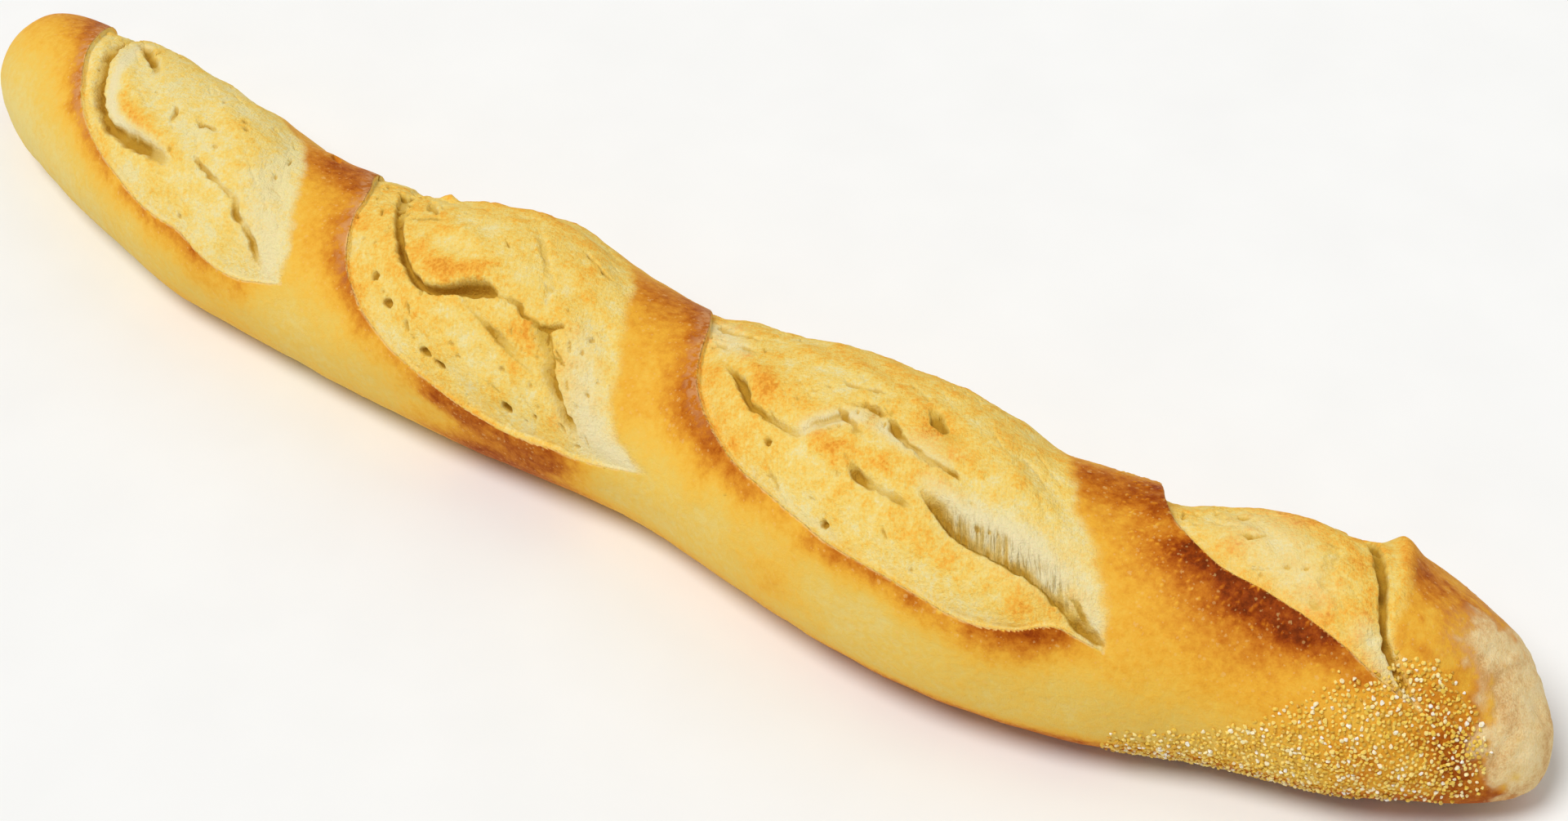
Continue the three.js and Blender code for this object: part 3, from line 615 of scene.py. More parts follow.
# %% Ridges
RIDGES = [
    [(-170, 0, 0.4, 1.6, 3, 0.5), (-166.5, 5, 0.7, 1.6, 3.4, 0.9),
     (-163.6, 7.6, 0.9, 1.8, 3.6, 1.0), (-158.7, 9.1, 1.0, 2, 4, 1.0),
     (-149.3, 10.2, 0.9, 2.2, 3.5, 1.0), (-140, 10.9, 0.7, 2.2, 3, 0.9),
     (-132.1, 13.4, 0.3, 2, 2.5, 0.7)],
    [(-60.5, 5, 0.4, 2, 5, 0.4), (-57, 9.3, 0.8, 1.8, 4, 0.9), (-51, 12, 0.8, 1.8, 4, 1.0),
     (-46, 11, 0.7, 1.8, 4, 0.9), (-41, 8, 0.5, 1.8, 4, 0.7)],
    [(-73.5, -17, 0.5, 1, 1.5, 0.3), (-70.6, -17.6, 2.0, 0.9, 1.6, 0.3),
     (-68.6, -17, 0.4, 1, 1.5, 0.3)],
    [(28, -2, 0.3, 3, 4, 0.4), (38, 4, 0.7, 3.4, 5, 0.6), (48, 8, 0.6, 3.4, 5, 0.5),
     (55, 7, 0.4, 3, 4, 0.4)],
    [(60, 14.5, 0.4, 3, 3, 0.5), (66, 13, 0.6, 3, 3, 0.6), (72, 12.5, 0.5, 3, 3, 0.5),
     (84, 11, 0.2, 3, 3, 0.2)],
    [(86, 21, 0.4, 5, 3, 0.4), (96, 22, 0.6, 6, 3, 0.6), (110, 23.5, 0.5, 6, 3, 0.5),
     (122, 26, 0.3, 3, 3, 0.4)],
    [(62, -12, 0.3, 4, 4, 0.6), (72, -7, 0.5, 4, 4, 0.7), (86, 0, 0.5, 3, 4, 0.7),
     (94, 3, 0.3, 2, 3, 0.5)],
    [(174, -32, 1.6, 2, 4, 0.6), (178, -25, 2.8, 2, 3.6, 0.8), (182.5, -15, 1.5, 1.5, 3, 0.7),
     (186.3, -4, 0.7, 1.3, 2.4, 0.5), (188.6, 3, 0.3, 1.2, 2, 0.4), (191.3, 8.5, 0.2, 1.2, 2, 0.3)],
    [(150, -18, 0.6, 7, 7, 0.5), (166, -10, 0.8, 7, 5, 0.7), (177, 2, 0.5, 7, 4, 0.5),
     (185, 12, 0.3, 4, 3, 0.3)],
]
RIDGE_REACH = 14                    # mm to each side of a ridge's line
toast = np.zeros(X.shape)           # how toasted the crumb is

for rows in RIDGES:
    index, distance, _, (rise, ear_width, far_width, toasting) = near_line(rows, RIDGE_REACH)
    width = np.where(distance > 0, ear_width, far_width)
    crest = np.exp(-(distance / width) ** 2)
    height[index] += rise * crest
    toast[index] = np.maximum(toast[index], toasting * crest ** 1.5)
print(f"ridges: {len(RIDGES)}")

# %% [markdown]
# ## Uneven crust and torn crumb
#
# The crust is a stretched skin, so it only undulates. The crumb is made of smooth lobes of dough
# that pulled apart: wide folds along the cut, thin creases between them, and, where it tore last,
# strands that were drawn out across the tear.

# %% Surface roughness
FOLD_SLANT = 22                 # degrees from x towards s: along the cuts
STRAND_SLANT = 60               # and across them
CREASE_WIDTH = 0.07             # a crease runs where its noise is nearer to 0 than this
lobes = slanted_noise(FOLD_SLANT, 16, 5, 61)
crease_noise = slanted_noise(FOLD_SLANT + 8, 11, 4, 64) + 0.12 * lumps_3
creases = np.exp(-np.abs(crease_noise) / CREASE_WIDTH)
creases *= smooth(2.4 * lattice_noise(plain, 10, 62) + 0.15)
strands = slanted_noise(STRAND_SLANT, 9, 0.8, 51) + 0.6 * slanted_noise(STRAND_SLANT, 4, 0.45, 52)
wrinkles = slanted_noise(STRAND_SLANT + 15, 5, 1.2, 53)
turned = math.radians(STRAND_SLANT)
along_strand = wander_x * math.cos(turned) + wander_s * math.sin(turned)
across_strand = wander_s * math.cos(turned) - wander_x * math.sin(turned)
print(f"creases on {np.mean(creases > 0.5):.0%} of the points, before the crust is left out")

# %% [markdown]
# Each pattern is added with its own height in millimetres. The crust gets the long waves and a
# little grain. The crumb gets folds and lumps as well, its creases are cut in, and its strands
# stand up where it was drawn out. Between strands and down in creases, where shade falls, painted
# shade darkens it.

# %% Add the roughness
WAVES = 0.40                                # mm, on the whole loaf
CRUST_LUMPS, CRUST_GRAIN = 0.26, 0.06
FOLDS, CRUMB_LUMPS, CRUMB_GRAIN, WRINKLES = 0.65, 0.38, 0.26, 0.05
CREASE_CUT, CREASE_SHADE = 0.35, 0.5
STRAND_HEIGHT, DRAWN_HEIGHT, DRAWN_SHADE = 0.04, 0.30, 1.5
RIM_FADE = 3                                # mm inside a cut over which its creases begin

is_crumb = smooth(opened + 0.3) * (1 - soft) + smooth(opened / 5) * soft
height += WAVES * lumps_30 + (1 - is_crumb) * (CRUST_LUMPS * lumps_8 + CRUST_GRAIN * lumps_3)
height += is_crumb * (FOLDS * lobes + CRUMB_LUMPS * lumps_8 + CRUMB_GRAIN * lumps_3
                      + WRINKLES * wrinkles)
height -= is_crumb * CREASE_CUT * creases * smooth(opened / RIM_FADE)
height += is_crumb * strands * (STRAND_HEIGHT + DRAWN_HEIGHT * drawn)
painted_shade += is_crumb * (CREASE_SHADE * creases * smooth(opened / RIM_FADE)
                     + DRAWN_SHADE * drawn * np.maximum(-strands, 0))
print(f"roughness: {np.mean(is_crumb > 0.5):.0%} of the points are rough like crumb")

# %% [markdown]
# ## Stamps
#
# A bubble is a small dent and a blister a small bump, so one stamp makes both. It only touches
# the rows near its place, which keeps a thousand stamps quick. Where two stamps overlap the
# stronger one wins, as neighbouring bubbles run together instead of adding up.

# %% A stamp, and places for it
torn_rim = lattice_noise(plain, 0.9, 71)    # makes the rim of a bubble or blister uneven
RIM_ROUGHNESS = 0.3


def stamp(target, x, s, long, short, turn, amount, hard=1.0):
    """Adds a bump to `target`: an ellipse with half lengths `long` and `short`. The higher `hard`
    is, the steeper its rim and the flatter its top."""
    first, last = np.searchsorted(row_x, [x - long - 1, x + long + 1])
    if last <= first:
        return
    near = slice(first, last)
    dx, ds = wander_x[near] - x, wander_s[near] - s
    along = dx * math.cos(turn) + ds * math.sin(turn)
    side = -dx * math.sin(turn) + ds * math.cos(turn)
    from_middle = np.hypot(along / long, side / short) * (1 + RIM_ROUGHNESS * torn_rim[near])
    shape = smooth((1 - from_middle) * hard)
    target[near] = np.maximum(target[near], amount * shape)


def place_at_random(draw, count, x_range, s_range, accept):
    """`count` random places in a box of x and s that `accept` says yes to."""
    places = []
    while len(places) < count:
        x, s = draw.uniform(*x_range), draw.uniform(*s_range)
        row = min(np.searchsorted(row_x, x), len(row_x) - 1)
        column = np.argmin(np.abs(S[row] - s))
        if accept(row, column):
            places.append((x, s))
    return places


def nearest_of(spots, row, column):
    """The distance in mm from a grid point to the nearest of some (x, s) spots."""
    here = np.array([X[row, column], S[row, column]])
    return min(np.hypot(*(here - spot)) for spot in spots)


print(f"stamps: their rims stray by up to {RIM_ROUGHNESS:.0%}")

# %% [markdown]
# Bubbles in the dough that the tear has opened are small oval holes with sharp rims. A few that
# stand out are listed one by one, and the rest are scattered where the crumb is open, most of them
# where it stretched the most, beside the ears at the back of each cut. Slits are bubbles that
# were drawn out into a line before they opened.

# %% Open bubbles
BIG_BUBBLES = [      # x, s, half length, half width, turn in degrees, depth
    (-129, -5.9, 0.8, 0.8, 0, 1.0), (-126.6, -3.8, 0.9, 0.7, 0, 1.0),
    (-127.7, 24.2, 0.7, 0.5, 0, 0.8), (-67.2, 16.3, 1.3, 0.9, 30, 1.6),
    (-59.8, 22.1, 1.9, 1.1, 15, 1.9), (-51.5, 26.5, 1.8, 0.5, 60, 0.9),
    (-44.8, 31.5, 1.7, 1.0, 15, 1.8), (-39.7, 32.8, 1.7, 0.8, 15, 1.6),
    (-20.2, 34.3, 1.4, 1.2, 0, 2.0), (-62.6, 19.8, 0.6, 0.4, 0, 0.7),
    (-35.1, 28.7, 0.6, 0.4, 0, 0.7), (-49, 29, 0.6, 0.4, 0, 0.6), (-84, 2, 0.7, 0.6, 0, 0.9),
    (-75, -4, 0.8, 1.4, 20, 1.2), (-74, -7, 1.2, 0.7, 40, 1.2), (-72, -3.4, 0.9, 0.6, 60, 1.0),
    (-78, -12, 1.3, 0.6, 60, 1.1), (-71, 0.5, 1.0, 0.6, 60, 1.0), (-77, -16, 1.6, 0.8, 20, 1.2),
    (47.8, 17.6, 1.0, 0.9, 0, 1.6), (70.4, 29.8, 1.0, 0.9, 0, 1.6), (94, 29, 0.5, 0.4, 0, 0.6),
    (-96, -22, 2.2, 1.2, 30, 1.4), (-88, -17, 1.8, 1.0, 20, 1.4), (-107, -17, 2.2, 1.0, 30, 1.4),
    (158.8, 4.1, 1.4, 0.4, 10, 0.5), (164, 3, 0.7, 0.5, 0, 0.7), (148, -14, 1.2, 0.9, 20, 0.9),
]
RIM_ALLOWANCE = 1.15                # a steep rim makes an opening look smaller than its stamp
STEEP_RIM, FAIR_RIM = 2.2, 1.8
holes = np.zeros(X.shape)
for x, s, long, short, turn, depth in BIG_BUBBLES:
    stamp(holes, x, s, long * RIM_ALLOWANCE, short * RIM_ALLOWANCE, math.radians(turn), depth,
          hard=STEEP_RIM)
print(f"big bubbles: {len(BIG_BUBBLES)}")

# %% [markdown]
# The random ones are tried anywhere on the cuts, and a place is kept only if the crumb is open
# there and a draw says yes. The draws come from a generator with a fixed seed, so the loaf is
# the same each time.

# %% Scattered bubbles and slits
SMALL_BUBBLES = 190
SLITS = 60
CUTS_X, CUTS_S = (-205, 200), (-44, 42)     # the box that holds all four cuts
POROUS = [(-108, -22), (-77, -8), (18, -12), (140, -18), (-82, -20), (66, 3), (-12, 20)]
POROUS_REACH = 8                            # mm round each of the porous spots
ELSEWHERE = 0.06                            # chance of a bubble away from them
HOLE_SHADE = 2.6
draw = np.random.default_rng(7)


def is_open_crumb(row, column):
    """A bubble shows where the crumb is open, and more often near the porous spots."""
    if opened[row, column] < 1.0:
        return False
    nearest = nearest_of(POROUS, row, column)
    return draw.random() < ELSEWHERE + math.exp(-(nearest / POROUS_REACH) ** 2)


for x, s in place_at_random(draw, SMALL_BUBBLES, CUTS_X, CUTS_S, is_open_crumb):
    size = draw.uniform(0.35, 0.7)
    stamp(holes, x, s, size * draw.uniform(1, 1.8), size, draw.uniform(-0.4, 1.2),
          size * draw.uniform(0.6, 1.4), hard=FAIR_RIM)
for x, s in place_at_random(draw, SLITS, CUTS_X, CUTS_S, is_open_crumb):
    slant = math.radians(draw.choice([FOLD_SLANT, STRAND_SLANT]) + draw.uniform(-15, 15))
    stamp(holes, x, s, draw.uniform(1.2, 2.6), draw.uniform(0.3, 0.45), slant,
          draw.uniform(0.5, 1.0), hard=FAIR_RIM)
height -= holes
# painted shade: open bubbles are darkened in colour as well as sunk
painted_shade += HOLE_SHADE * holes
print(f"small bubbles and slits: {SMALL_BUBBLES + SLITS}")

# %% [markdown]
# Blisters are the opposite: gas trapped just under the skin lifts it into small domes, which
# stay paler than the crust round them. They crowd on the browned shoulders of the straps and
# are largest along the last ear, where the crust is nearly burnt.

# %% Blisters
SMALL_BLISTERS = 900
EAR_BLISTERS = 260
LOWEST_BLISTER = 46                         # mm of s: the lower sides have none
STRAP_SPOTS = [(-100, -5), (-4, 0), (0, 14), (118, 0), (122, -18), (150, 16), (192, -8), (197, 2),
               (30, 24)]
STRAP_REACH = 16                            # mm round each of the straps' shoulders
PLAIN_CRUST = 0.10                          # chance of a blister away from them
SKIN_GAP = 0.8                              # mm that blisters keep from a cut
FLAT_DOME, EAR_DOME = 0.25, 0.4             # height of a blister, as a share of its half width
EAR_PART = 0.85                             # the part of the last ear that has blisters
blister = np.zeros(X.shape)


def is_browned_crust(row, column):
    """Blisters form on the crust, mostly near the shoulders of the straps."""
    if opened[row, column] > -SKIN_GAP or abs(S[row, column]) > LOWEST_BLISTER:
        return False
    nearest = nearest_of(STRAP_SPOTS, row, column)
    return draw.random() < PLAIN_CRUST + math.exp(-(nearest / STRAP_REACH) ** 2)


for x, s in place_at_random(draw, SMALL_BLISTERS, (-212, 205), (-LOWEST_BLISTER, LOWEST_BLISTER),
                            is_browned_crust):
    size = draw.uniform(0.28, 0.6)
    stamp(blister, x, s, size * draw.uniform(1, 1.5), size, draw.uniform(0, 3), size * FLAT_DOME)
last_ear = line_through(EARS[3])
for _ in range(EAR_BLISTERS):
    x, s = last_ear[int(draw.random() * EAR_PART * len(last_ear))][:2]
    size = draw.uniform(0.35, 0.8)
    stamp(blister, x - draw.uniform(-2, 7), s + draw.uniform(-0.5, 7), size * draw.uniform(1, 1.6),
          size, draw.uniform(0, 3), size * EAR_DOME)
height += blister
print(f"blisters: {SMALL_BLISTERS + EAR_BLISTERS}")

# %% [markdown]
# ## Large dents and swellings
#
# A few soft, wide differences from the plain loaf: the strap by the last cut stands up, and the
# shoulder of the near end falls away behind it.

# %% Soft swellings
def add_spots(target, spots):
    """Adds soft round spots, each (x, s, radius along x, radius along s, amount)."""
    for x, s, reach_x, reach_s, amount in spots:
        target += amount * np.exp(-((X - x) / reach_x) ** 2 - ((S - s) / reach_s) ** 2)


SWELLINGS = [        # x, s, radius along x, radius along s, height
    (116, -22, 12, 16, 1.6), (192, -19, 8, 12, -1.2), (210, -20, 9, 12, 2.6),
    (220, -10, 5, 10, 1.2), (-192, -16, 10, 10, -0.8), (-34, -28, 12, 6, 1.4),
    (-134, -26, 6, 6, 0.8), (90, -31, 8, 6, 1.0), (-110, -19, 5, 5, 0.9), (200, 4, 8, 8, 0.6),
    (-112, -24, 8, 8, -0.8), (-84, -20, 8, 8, -1.0), (2, -24, 9, 8, -1.0), (130, -26, 6, 10, -1.2),
    (168, -22, 6, 9, -1.5), (100, -26, 6, 8, -0.6), (219, -7, 3, 2.5, -1.0), (221, 3, 4, 6, 0.5),
]
add_spots(height, SWELLINGS)
TUCK = 0.9                      # mm that the lower sides are drawn in
TUCK_FROM, TUCK_OVER = 32, 16   # mm of s from where, and over how much more
height -= TUCK * smooth((np.abs(S) - TUCK_FROM) / TUCK_OVER)
print(f"relief from {height.min():.1f} to {height.max():.1f} mm")

# %% [markdown]
# What stands out of its surroundings is nearest the heat and toasts first. To find it, the relief
# is averaged over a few millimetres round each point, and the average is taken away. A running
# sum makes that quick: the sum of any stretch is one running total less another.

# %% What stands out of its surroundings
def averaged(field, reach):
    """`field` averaged over `reach` rows and columns to each side."""
    for axis in (0, 1):
        margin = [(reach + 1, reach) if i == axis else (0, 0) for i in (0, 1)]
        running = np.cumsum(np.pad(field, margin, mode="edge"), axis=axis)
        count = 2 * reach + 1
        ends = np.take(running, np.arange(count, running.shape[axis]), axis=axis)
        starts = np.take(running, np.arange(running.shape[axis] - count), axis=axis)
        field = (ends - starts) / count
    return field


AVERAGE_REACH = 12              # grid points, so about 5 mm
HOLLOW_SHADE, HOLLOW_FROM = 1.1, 0.1        # painted shade in hollows deeper than this many mm
raised = height - averaged(height, AVERAGE_REACH)
# painted shade: the colour is darkened in hollows, where shade falls
painted_shade += HOLLOW_SHADE * np.maximum(-raised - HOLLOW_FROM, 0) * (holes < 0.1)
print(f"raised by {raised.min():.1f} to {raised.max():.1f} mm against the surroundings")

# %% [markdown]
# ## How brown the crust is
#
# Crust browns where it is dry and near the heat: on the shoulders, on the ears and where it
# touched the baking stone. The sides, which faced other loaves, stay the yellow of straw. The
# browning is one number for each point, from 0 for straw to 1 for nearly burnt, and the material
# turns it into colours later.

# %% Brown the crust
def rising(value, start, width):
    """0 until `value` reaches `start`, and 1 from `start` + `width` on."""
    return smooth((value - start) / width)


above_table = plain[..., 2]
CROWN_BROWN = 0.44
SIDES, BACK, NEAR_END, FAR_FRONT = -0.28, 0.20, 0.05, -0.12     # how much browner each part is
NEAR_END_LOW_SHADE = 0.30                 # painted shade low on the flank towards the near end, where less light falls
browning = CROWN_BROWN + 0.09 * lumps_30 + 0.07 * lumps_8
browning += SIDES * rising(np.abs(S), 12, 22)
browning += BACK * rising(-S, 0, 14) * rising(X, -185, 40)
browning += NEAR_END * rising(X, 90, 60)
browning += FAR_FRONT * rising(-X, 150, 50) * rising(S, 6, 10)
rim_brown = 0.10 + 0.22 * rising(X, -90, 60) + 0.16 * lumps_30    # low down, by the stone
browning += rim_brown * rising(-above_table, -15, 7)
# painted shade: the crust low on the flank towards the near end is darkened as if less light reached it
browning += NEAR_END_LOW_SHADE * rising(X, 50, 50) * rising(-above_table, -14, 6)
BROWN_SPOTS = [      # x, s, radius along x, radius along s, how much browner
    (-216, -10, 12, 8, 0.16), (-200, -14, 8, 8, 0.16), (-208, 18, 18, 14, -0.17),
    (-103, -8, 11, 9, 0.20), (-6, -8, 11, 9, 0.10), (-24, 54, 26, 6, 0.46),
    (114, -10, 12, 12, 0.10), (126, 10, 9, 10, -0.06), (158, 28, 24, 11, 0.18),
    (176, 46, 24, 9, 0.02), (60, 50, 8, 9, 0.26), (-84, 27, 12, 8, -0.06), (-10, 24, 10, 10, -0.06),
    (216, 24, 8, 9, 0.55), (205, 40, 20, 12, 0.26), (208, 12, 5, 10, 0.24), (189, -14, 7, 12, 0.13),
    (178, 34, 18, 10, 0.16), (198, 28, 10, 12, 0.12), (195, -8, 9, 10, -0.02),
    (92, 43, 26, 6, -0.12), (30, 40, 24, 7, -0.04), (-130, 38, 40, 6, -0.06),
    (-75, 32, 22, 8, -0.02),
]
add_spots(browning, BROWN_SPOTS)
browning += (0.2 * lumps_3 + 0.16 * lumps_8) * rising(X, 184, 8)        # the mottled cap
print(f"browning before the ears: {browning.min():.2f} to {browning.max():.2f}")

# %% [markdown]
# The ears' own browning comes on top. Only along the last ear is the crust let go beyond the
# brown of toffee. The base lay on hot stone, so it is evenly brown all over.

# %% Brown the ears and the base
NEAR_BURNT, BURNT = 0.82, 0.14  # the browning that all crust may reach, and what the last ear adds
BURNT_FROM = 80                 # mm of x: the last ear's surroundings
BASE_BROWN = 0.66
browning = np.maximum(browning, 0) + bake * (1 - 0.6 * browning)
browning = np.minimum(browning, NEAR_BURNT
                      + BURNT * rising(X, BURNT_FROM, 30) * smooth(1.2 - lip / 12))
underside = smooth((np.abs(column_angle)[None, :] - BASE_ANGLE + 0.12) / 0.2) * np.ones_like(X)
browning = browning * (1 - underside) + (BASE_BROWN + 0.12 * lumps_30 + 0.08 * lumps_8) * underside
print(f"browning: {browning.min():.2f} to {browning.max():.2f}")

# %% [markdown]
# ## How toasted the crumb is
#
# Crumb toasts from the top down, so the ridges and the rims by the ears turn golden first, and
# the hollows stay pale. It is one number again, from 0 for white crumb to 1 for golden toast.

# %% Toast the crumb
PLAIN_TOAST, MOST_TOAST = 0.40, 0.95
RIDGE_TOAST, RAISED_TOAST = 0.30, 0.26      # on the ridges, and for each mm that stands out
EAR_TOAST, FIRST_EAR_TOAST = 0.30, 0.25     # by the upper part of an ear, and by the first ear's far half
BACK_TOAST, FIRST_CUT_PALER = 0.10, 0.22
toast = PLAIN_TOAST + RIDGE_TOAST * toast + 0.30 * lumps_8 + 0.20 * lumps_3
toast += RAISED_TOAST * np.clip(raised, -0.8, 0.5)
toast += EAR_TOAST * smooth(1 - lip / 8) * smooth((26 - S) / 8) * rising(X, -110, 10)
toast += FIRST_EAR_TOAST * smooth(1 - lip / 6) * rising(-X, 150, 10)
toast += BACK_TOAST * rising(-S, 6, 12) - FIRST_CUT_PALER * rising(-X, 85, 10)
TOAST_SPOTS = [      # x, s, radius along x, radius along s, how much more toasted
    (-38, 30, 22, 6, -0.20), (80, 28, 34, 5, -0.14), (-26, 17, 10, 4, 0.12), (128, 24, 5, 3, 0.10),
    (45, 20, 14, 6, 0.08), (-160, 9.5, 12, 3, 0.2), (-48, 11, 10, 4, 0.12),
]
add_spots(toast, TOAST_SPOTS)
toast = np.minimum(toast, MOST_TOAST)
print(f"toast: {toast[opened > 0].mean():.2f} on average")

# %% [markdown]
# What tore open last, late in the bake, stayed almost white. Those last tears are lines again.

# %% Leave the last tears pale
PALE_LINES = [       # freshly torn crumb that browned least: x, s, half width, amount
    [(-172.5, 2, 1.4, 0.8), (-167.5, 8.6, 1.8, 0.9), (-160, 12, 1.5, 0.9), (-150, 12.6, 1.4, 0.8),
     (-140, 13.4, 1.2, 0.5)],
    [(-110, 4, 6, 0.25), (-104, 14, 6, 0.4), (-97, 24, 4, 0.6)],
    [(-10, 12, 4, 0.3), (-4, 22, 5, 0.6), (2, 30, 5, 0.9), (14, 33, 3, 0.9)],
    [(120, 8, 4, 0.3), (128, 16, 4, 0.5), (135, 25, 3, 0.8)],
    [(88, 11, 2.5, 0.4), (96, 12.5, 3.5, 0.8), (106, 13, 4.5, 1.0), (116, 14, 4.5, 1.0),
     (124, 17, 3.5, 0.9)],
    [(55, 12, 2, 0.8), (60, 7, 2.2, 0.9), (66, 4, 2, 0.8), (76, 5.4, 2, 0.6), (88, 5, 1.6, 0.4)],
    [(12, -12, 4, 0.7), (20, -6, 3.5, 0.6), (27, -2, 2, 0.3)],
    [(-180, -14, 2.4, 0.5), (-176, -4, 2.2, 0.8), (-172.5, 1, 1.8, 0.8)],
    [(186, 12, 3, 0.4), (193, 16, 3, 0.7), (200, 18, 2, 0.6)],
    [(150, -12, 7, 0.3), (160, -2, 6, 0.4), (172, 8, 5, 0.3)],
]
FRESH_PALER = 0.45
for rows in PALE_LINES:
    index, distance, _, (width, amount) = near_line(rows, 14)
    fresh[index] = np.maximum(fresh[index], amount * np.exp(-(distance / width) ** 2))
toast -= FRESH_PALER * fresh
print(f"fresh crumb: {np.mean(fresh > 0.3):.1%} of the points")

# %% [markdown]
# ## Flour on the tip
#
# The near tip was pressed into flour as well. It lies in a patch with a blurred, cloudy border,
# and it is thick enough to show the streaks that a hand left in it. Round it the crust is rosy.

# %% Flour the tip
FLOUR_EDGE = [(205, -46), (205, -30), (204, -15), (203, -6), (207, 3), (212, 8), (214.5, 13),
              (218, 17), (225, 21)]
FLOUR_BLUR = 8                  # mm over which the patch begins
FLOUR_STREAKS, FLOUR_LUMPS = 0.28, 0.22     # mm high
flour = np.zeros(X.shape)
index, distance, _, _ = near_line(FLOUR_EDGE, 60)
flour[index] = smooth(-distance / FLOUR_BLUR + 0.45 + 1.3 * lumps_3[index] + 0.9 * lumps_8[index])
flour *= (X > 192) * (1 - underside)
rosy_cap = 0.8 * rising(X, 192, 10) * smooth((10 - S) / 8) * smooth(0.5 + 1.2 * lumps_8)
rosy = np.maximum(rosy, rosy_cap)
height += flour * (FLOUR_STREAKS * slanted_noise(95, 7, 1.5, 55) + FLOUR_LUMPS * lumps_3)
print(f"flour on {np.mean(flour > 0.5):.1%} of the points")

# %% [markdown]
# ## From the grid to points in space
#
# Every point moves along its normal by the height, and sideways by the slide. Nothing may drop
# below the plane that the loaf lies on, nor leave the box that the CAD solid fills. The relief
# dies away towards the tips and the flat base, which are nearly smooth on a real loaf too.

# %% Move the points
TIP_FADE = 12                   # mm of half width, below which the relief dies away
BASE_GRAIN = 0.12               # mm, the roughness that hot stone leaves on the base
BASE_HOLLOW = 0.25              # the crust of the base stands this far above the lowest grits
EDGE_ROOM = 0.05                # mm kept free inside the CAD box
fade = on_top * smooth(row_width[:, None] / TIP_FADE)
height *= fade
base_texture = BASE_GRAIN * (1 - on_top) * (lumps_3 + lumps_8)
points = plain + outward * (height + base_texture)[..., None]
points += fade[..., None] * (along_x * slide_x[..., None] + along_s * slide_s[..., None])
points[..., 2] = np.maximum(points[..., 2], BASE_HOLLOW + base_texture)

low = np.array(cad_low) / MM + EDGE_ROOM
high = np.array(cad_high) / MM - EDGE_ROOM
points = np.clip(points, [low[0], low[1], 0], [high[0], high[1], high[2]])
print("points reach, mm:", points.reshape(-1, 3).min(0).round(1), points.reshape(-1, 3).max(0).round(1))

# %% [markdown]
# ## Triangles
#
# Each row is joined to the next by squares, cut in two, and each tip is closed by a fan of
# triangles round one more point. The corners are counted the same way round everywhere, so that
# all the triangles face out.

# %% Join the points into triangles
tips = [[tip_x, *points[row, :, 1:].mean(axis=0)] for row, tip_x in ((0, low[0]), (-1, high[0]))]
rows_count, columns_count = X.shape
number = np.arange(rows_count * columns_count).reshape(rows_count, columns_count)
around = np.roll(number, -1, axis=1)
squares = np.stack([number[:-1], number[1:], around[1:], around[:-1]], axis=-1).reshape(-1, 4)
first_tip, last_tip = number.size, number.size + 1
fans = np.concatenate([
    np.stack([np.full(columns_count, first_tip), number[0], around[0]], axis=-1),
    np.stack([np.full(columns_count, last_tip), around[-1], number[-1]], axis=-1)])
split = np.concatenate([squares[:, [0, 1, 2]], squares[:, [0, 2, 3]], fans])
all_points = np.concatenate([points.reshape(-1, 3), tips]) * MM
print(f"triangles: {len(split)}")

# %% [markdown]
# ## From arrays to a mesh
#
# Blender can fill a mesh straight from arrays with `foreach_set`, which is hundreds of times
# quicker than adding faces one by one. The numbers that the material needs are stored on the
# vertices as attributes, so they stay with the surface whatever is done to the mesh later.

# %% Make the loaf's mesh
def mesh_from(name, vertices, triangles, values, shade_smooth=True):
    """A mesh object from arrays, with each array in `values` stored as a number on every vertex."""
    mesh = bpy.data.meshes.new(name)
    mesh.vertices.add(len(vertices))
    mesh.vertices.foreach_set("co", np.ascontiguousarray(vertices, np.float32).ravel())
    mesh.loops.add(3 * len(triangles))
    mesh.loops.foreach_set("vertex_index", np.ascontiguousarray(triangles, np.int32).ravel())
    mesh.polygons.add(len(triangles))
    mesh.polygons.foreach_set("loop_start", np.arange(0, 3 * len(triangles), 3, dtype=np.int32))
    mesh.polygons.foreach_set("use_smooth", np.full(len(triangles), shade_smooth))
    mesh.update(calc_edges=True)
    for key, value in values.items():
        layer = mesh.attributes.new(key, "FLOAT", "POINT")
        layer.data.foreach_set("value", np.ascontiguousarray(value, np.float32))
    piece = bpy.data.objects.new(name, mesh)
    bpy.context.scene.collection.objects.link(piece)
    return piece


def with_tips(values):
    """One value for each mesh vertex: those of the grid, and those of the two tips."""
    return np.concatenate([values.ravel(), [values[0].mean(), values[-1].mean()]])


surface_numbers = {
    "opened": opened, "browning": browning, "toast": toast, "rosy": rosy, "painted_shade": painted_shade,
    "fresh": fresh, "blister": blister, "flour": flour, "lip": lip, "soft": soft, "drawn": drawn,
    "along_strand": along_strand, "across_strand": across_strand}
loaf = mesh_from("crusty_loaf", all_points, split,
                 {key: with_tips(values) for key, values in surface_numbers.items()})
print(f"loaf: {len(loaf.data.polygons)} triangles after {time.time() - started:.0f} s")

# %% [markdown]
# ## Fewer triangles where nothing happens
#
# The even grid spends as many triangles on smooth crust as on a torn edge. The Decimate
# modifier merges the points that matter least to the shape, so most of what is left stands
# where the surface bends. It is applied, so that the finished mesh is what rides on the frame.

# %% Thin out the mesh
LOAF_TRIANGLES = 196_000
thin = loaf.modifiers.new("thin_out", "DECIMATE")
thin.ratio = LOAF_TRIANGLES / len(split)
bpy.context.view_layer.objects.active = loaf
bpy.ops.object.modifier_apply(modifier=thin.name)
print(f"loaf: {len(loaf.data.polygons)} triangles left after {time.time() - started:.0f} s")

# %% [markdown]
# ## Colours and nodes
#
# Paint charts and web pages give colours as sRGB hex values. Blender's shaders add and mix light,
# so they want linear values, and one function converts them. A material is a tree of nodes, and
# one more function adds any kind of node. Blender hides the sockets that a node's settings leave
# without a use, so the inputs and outputs are counted among those that are enabled.

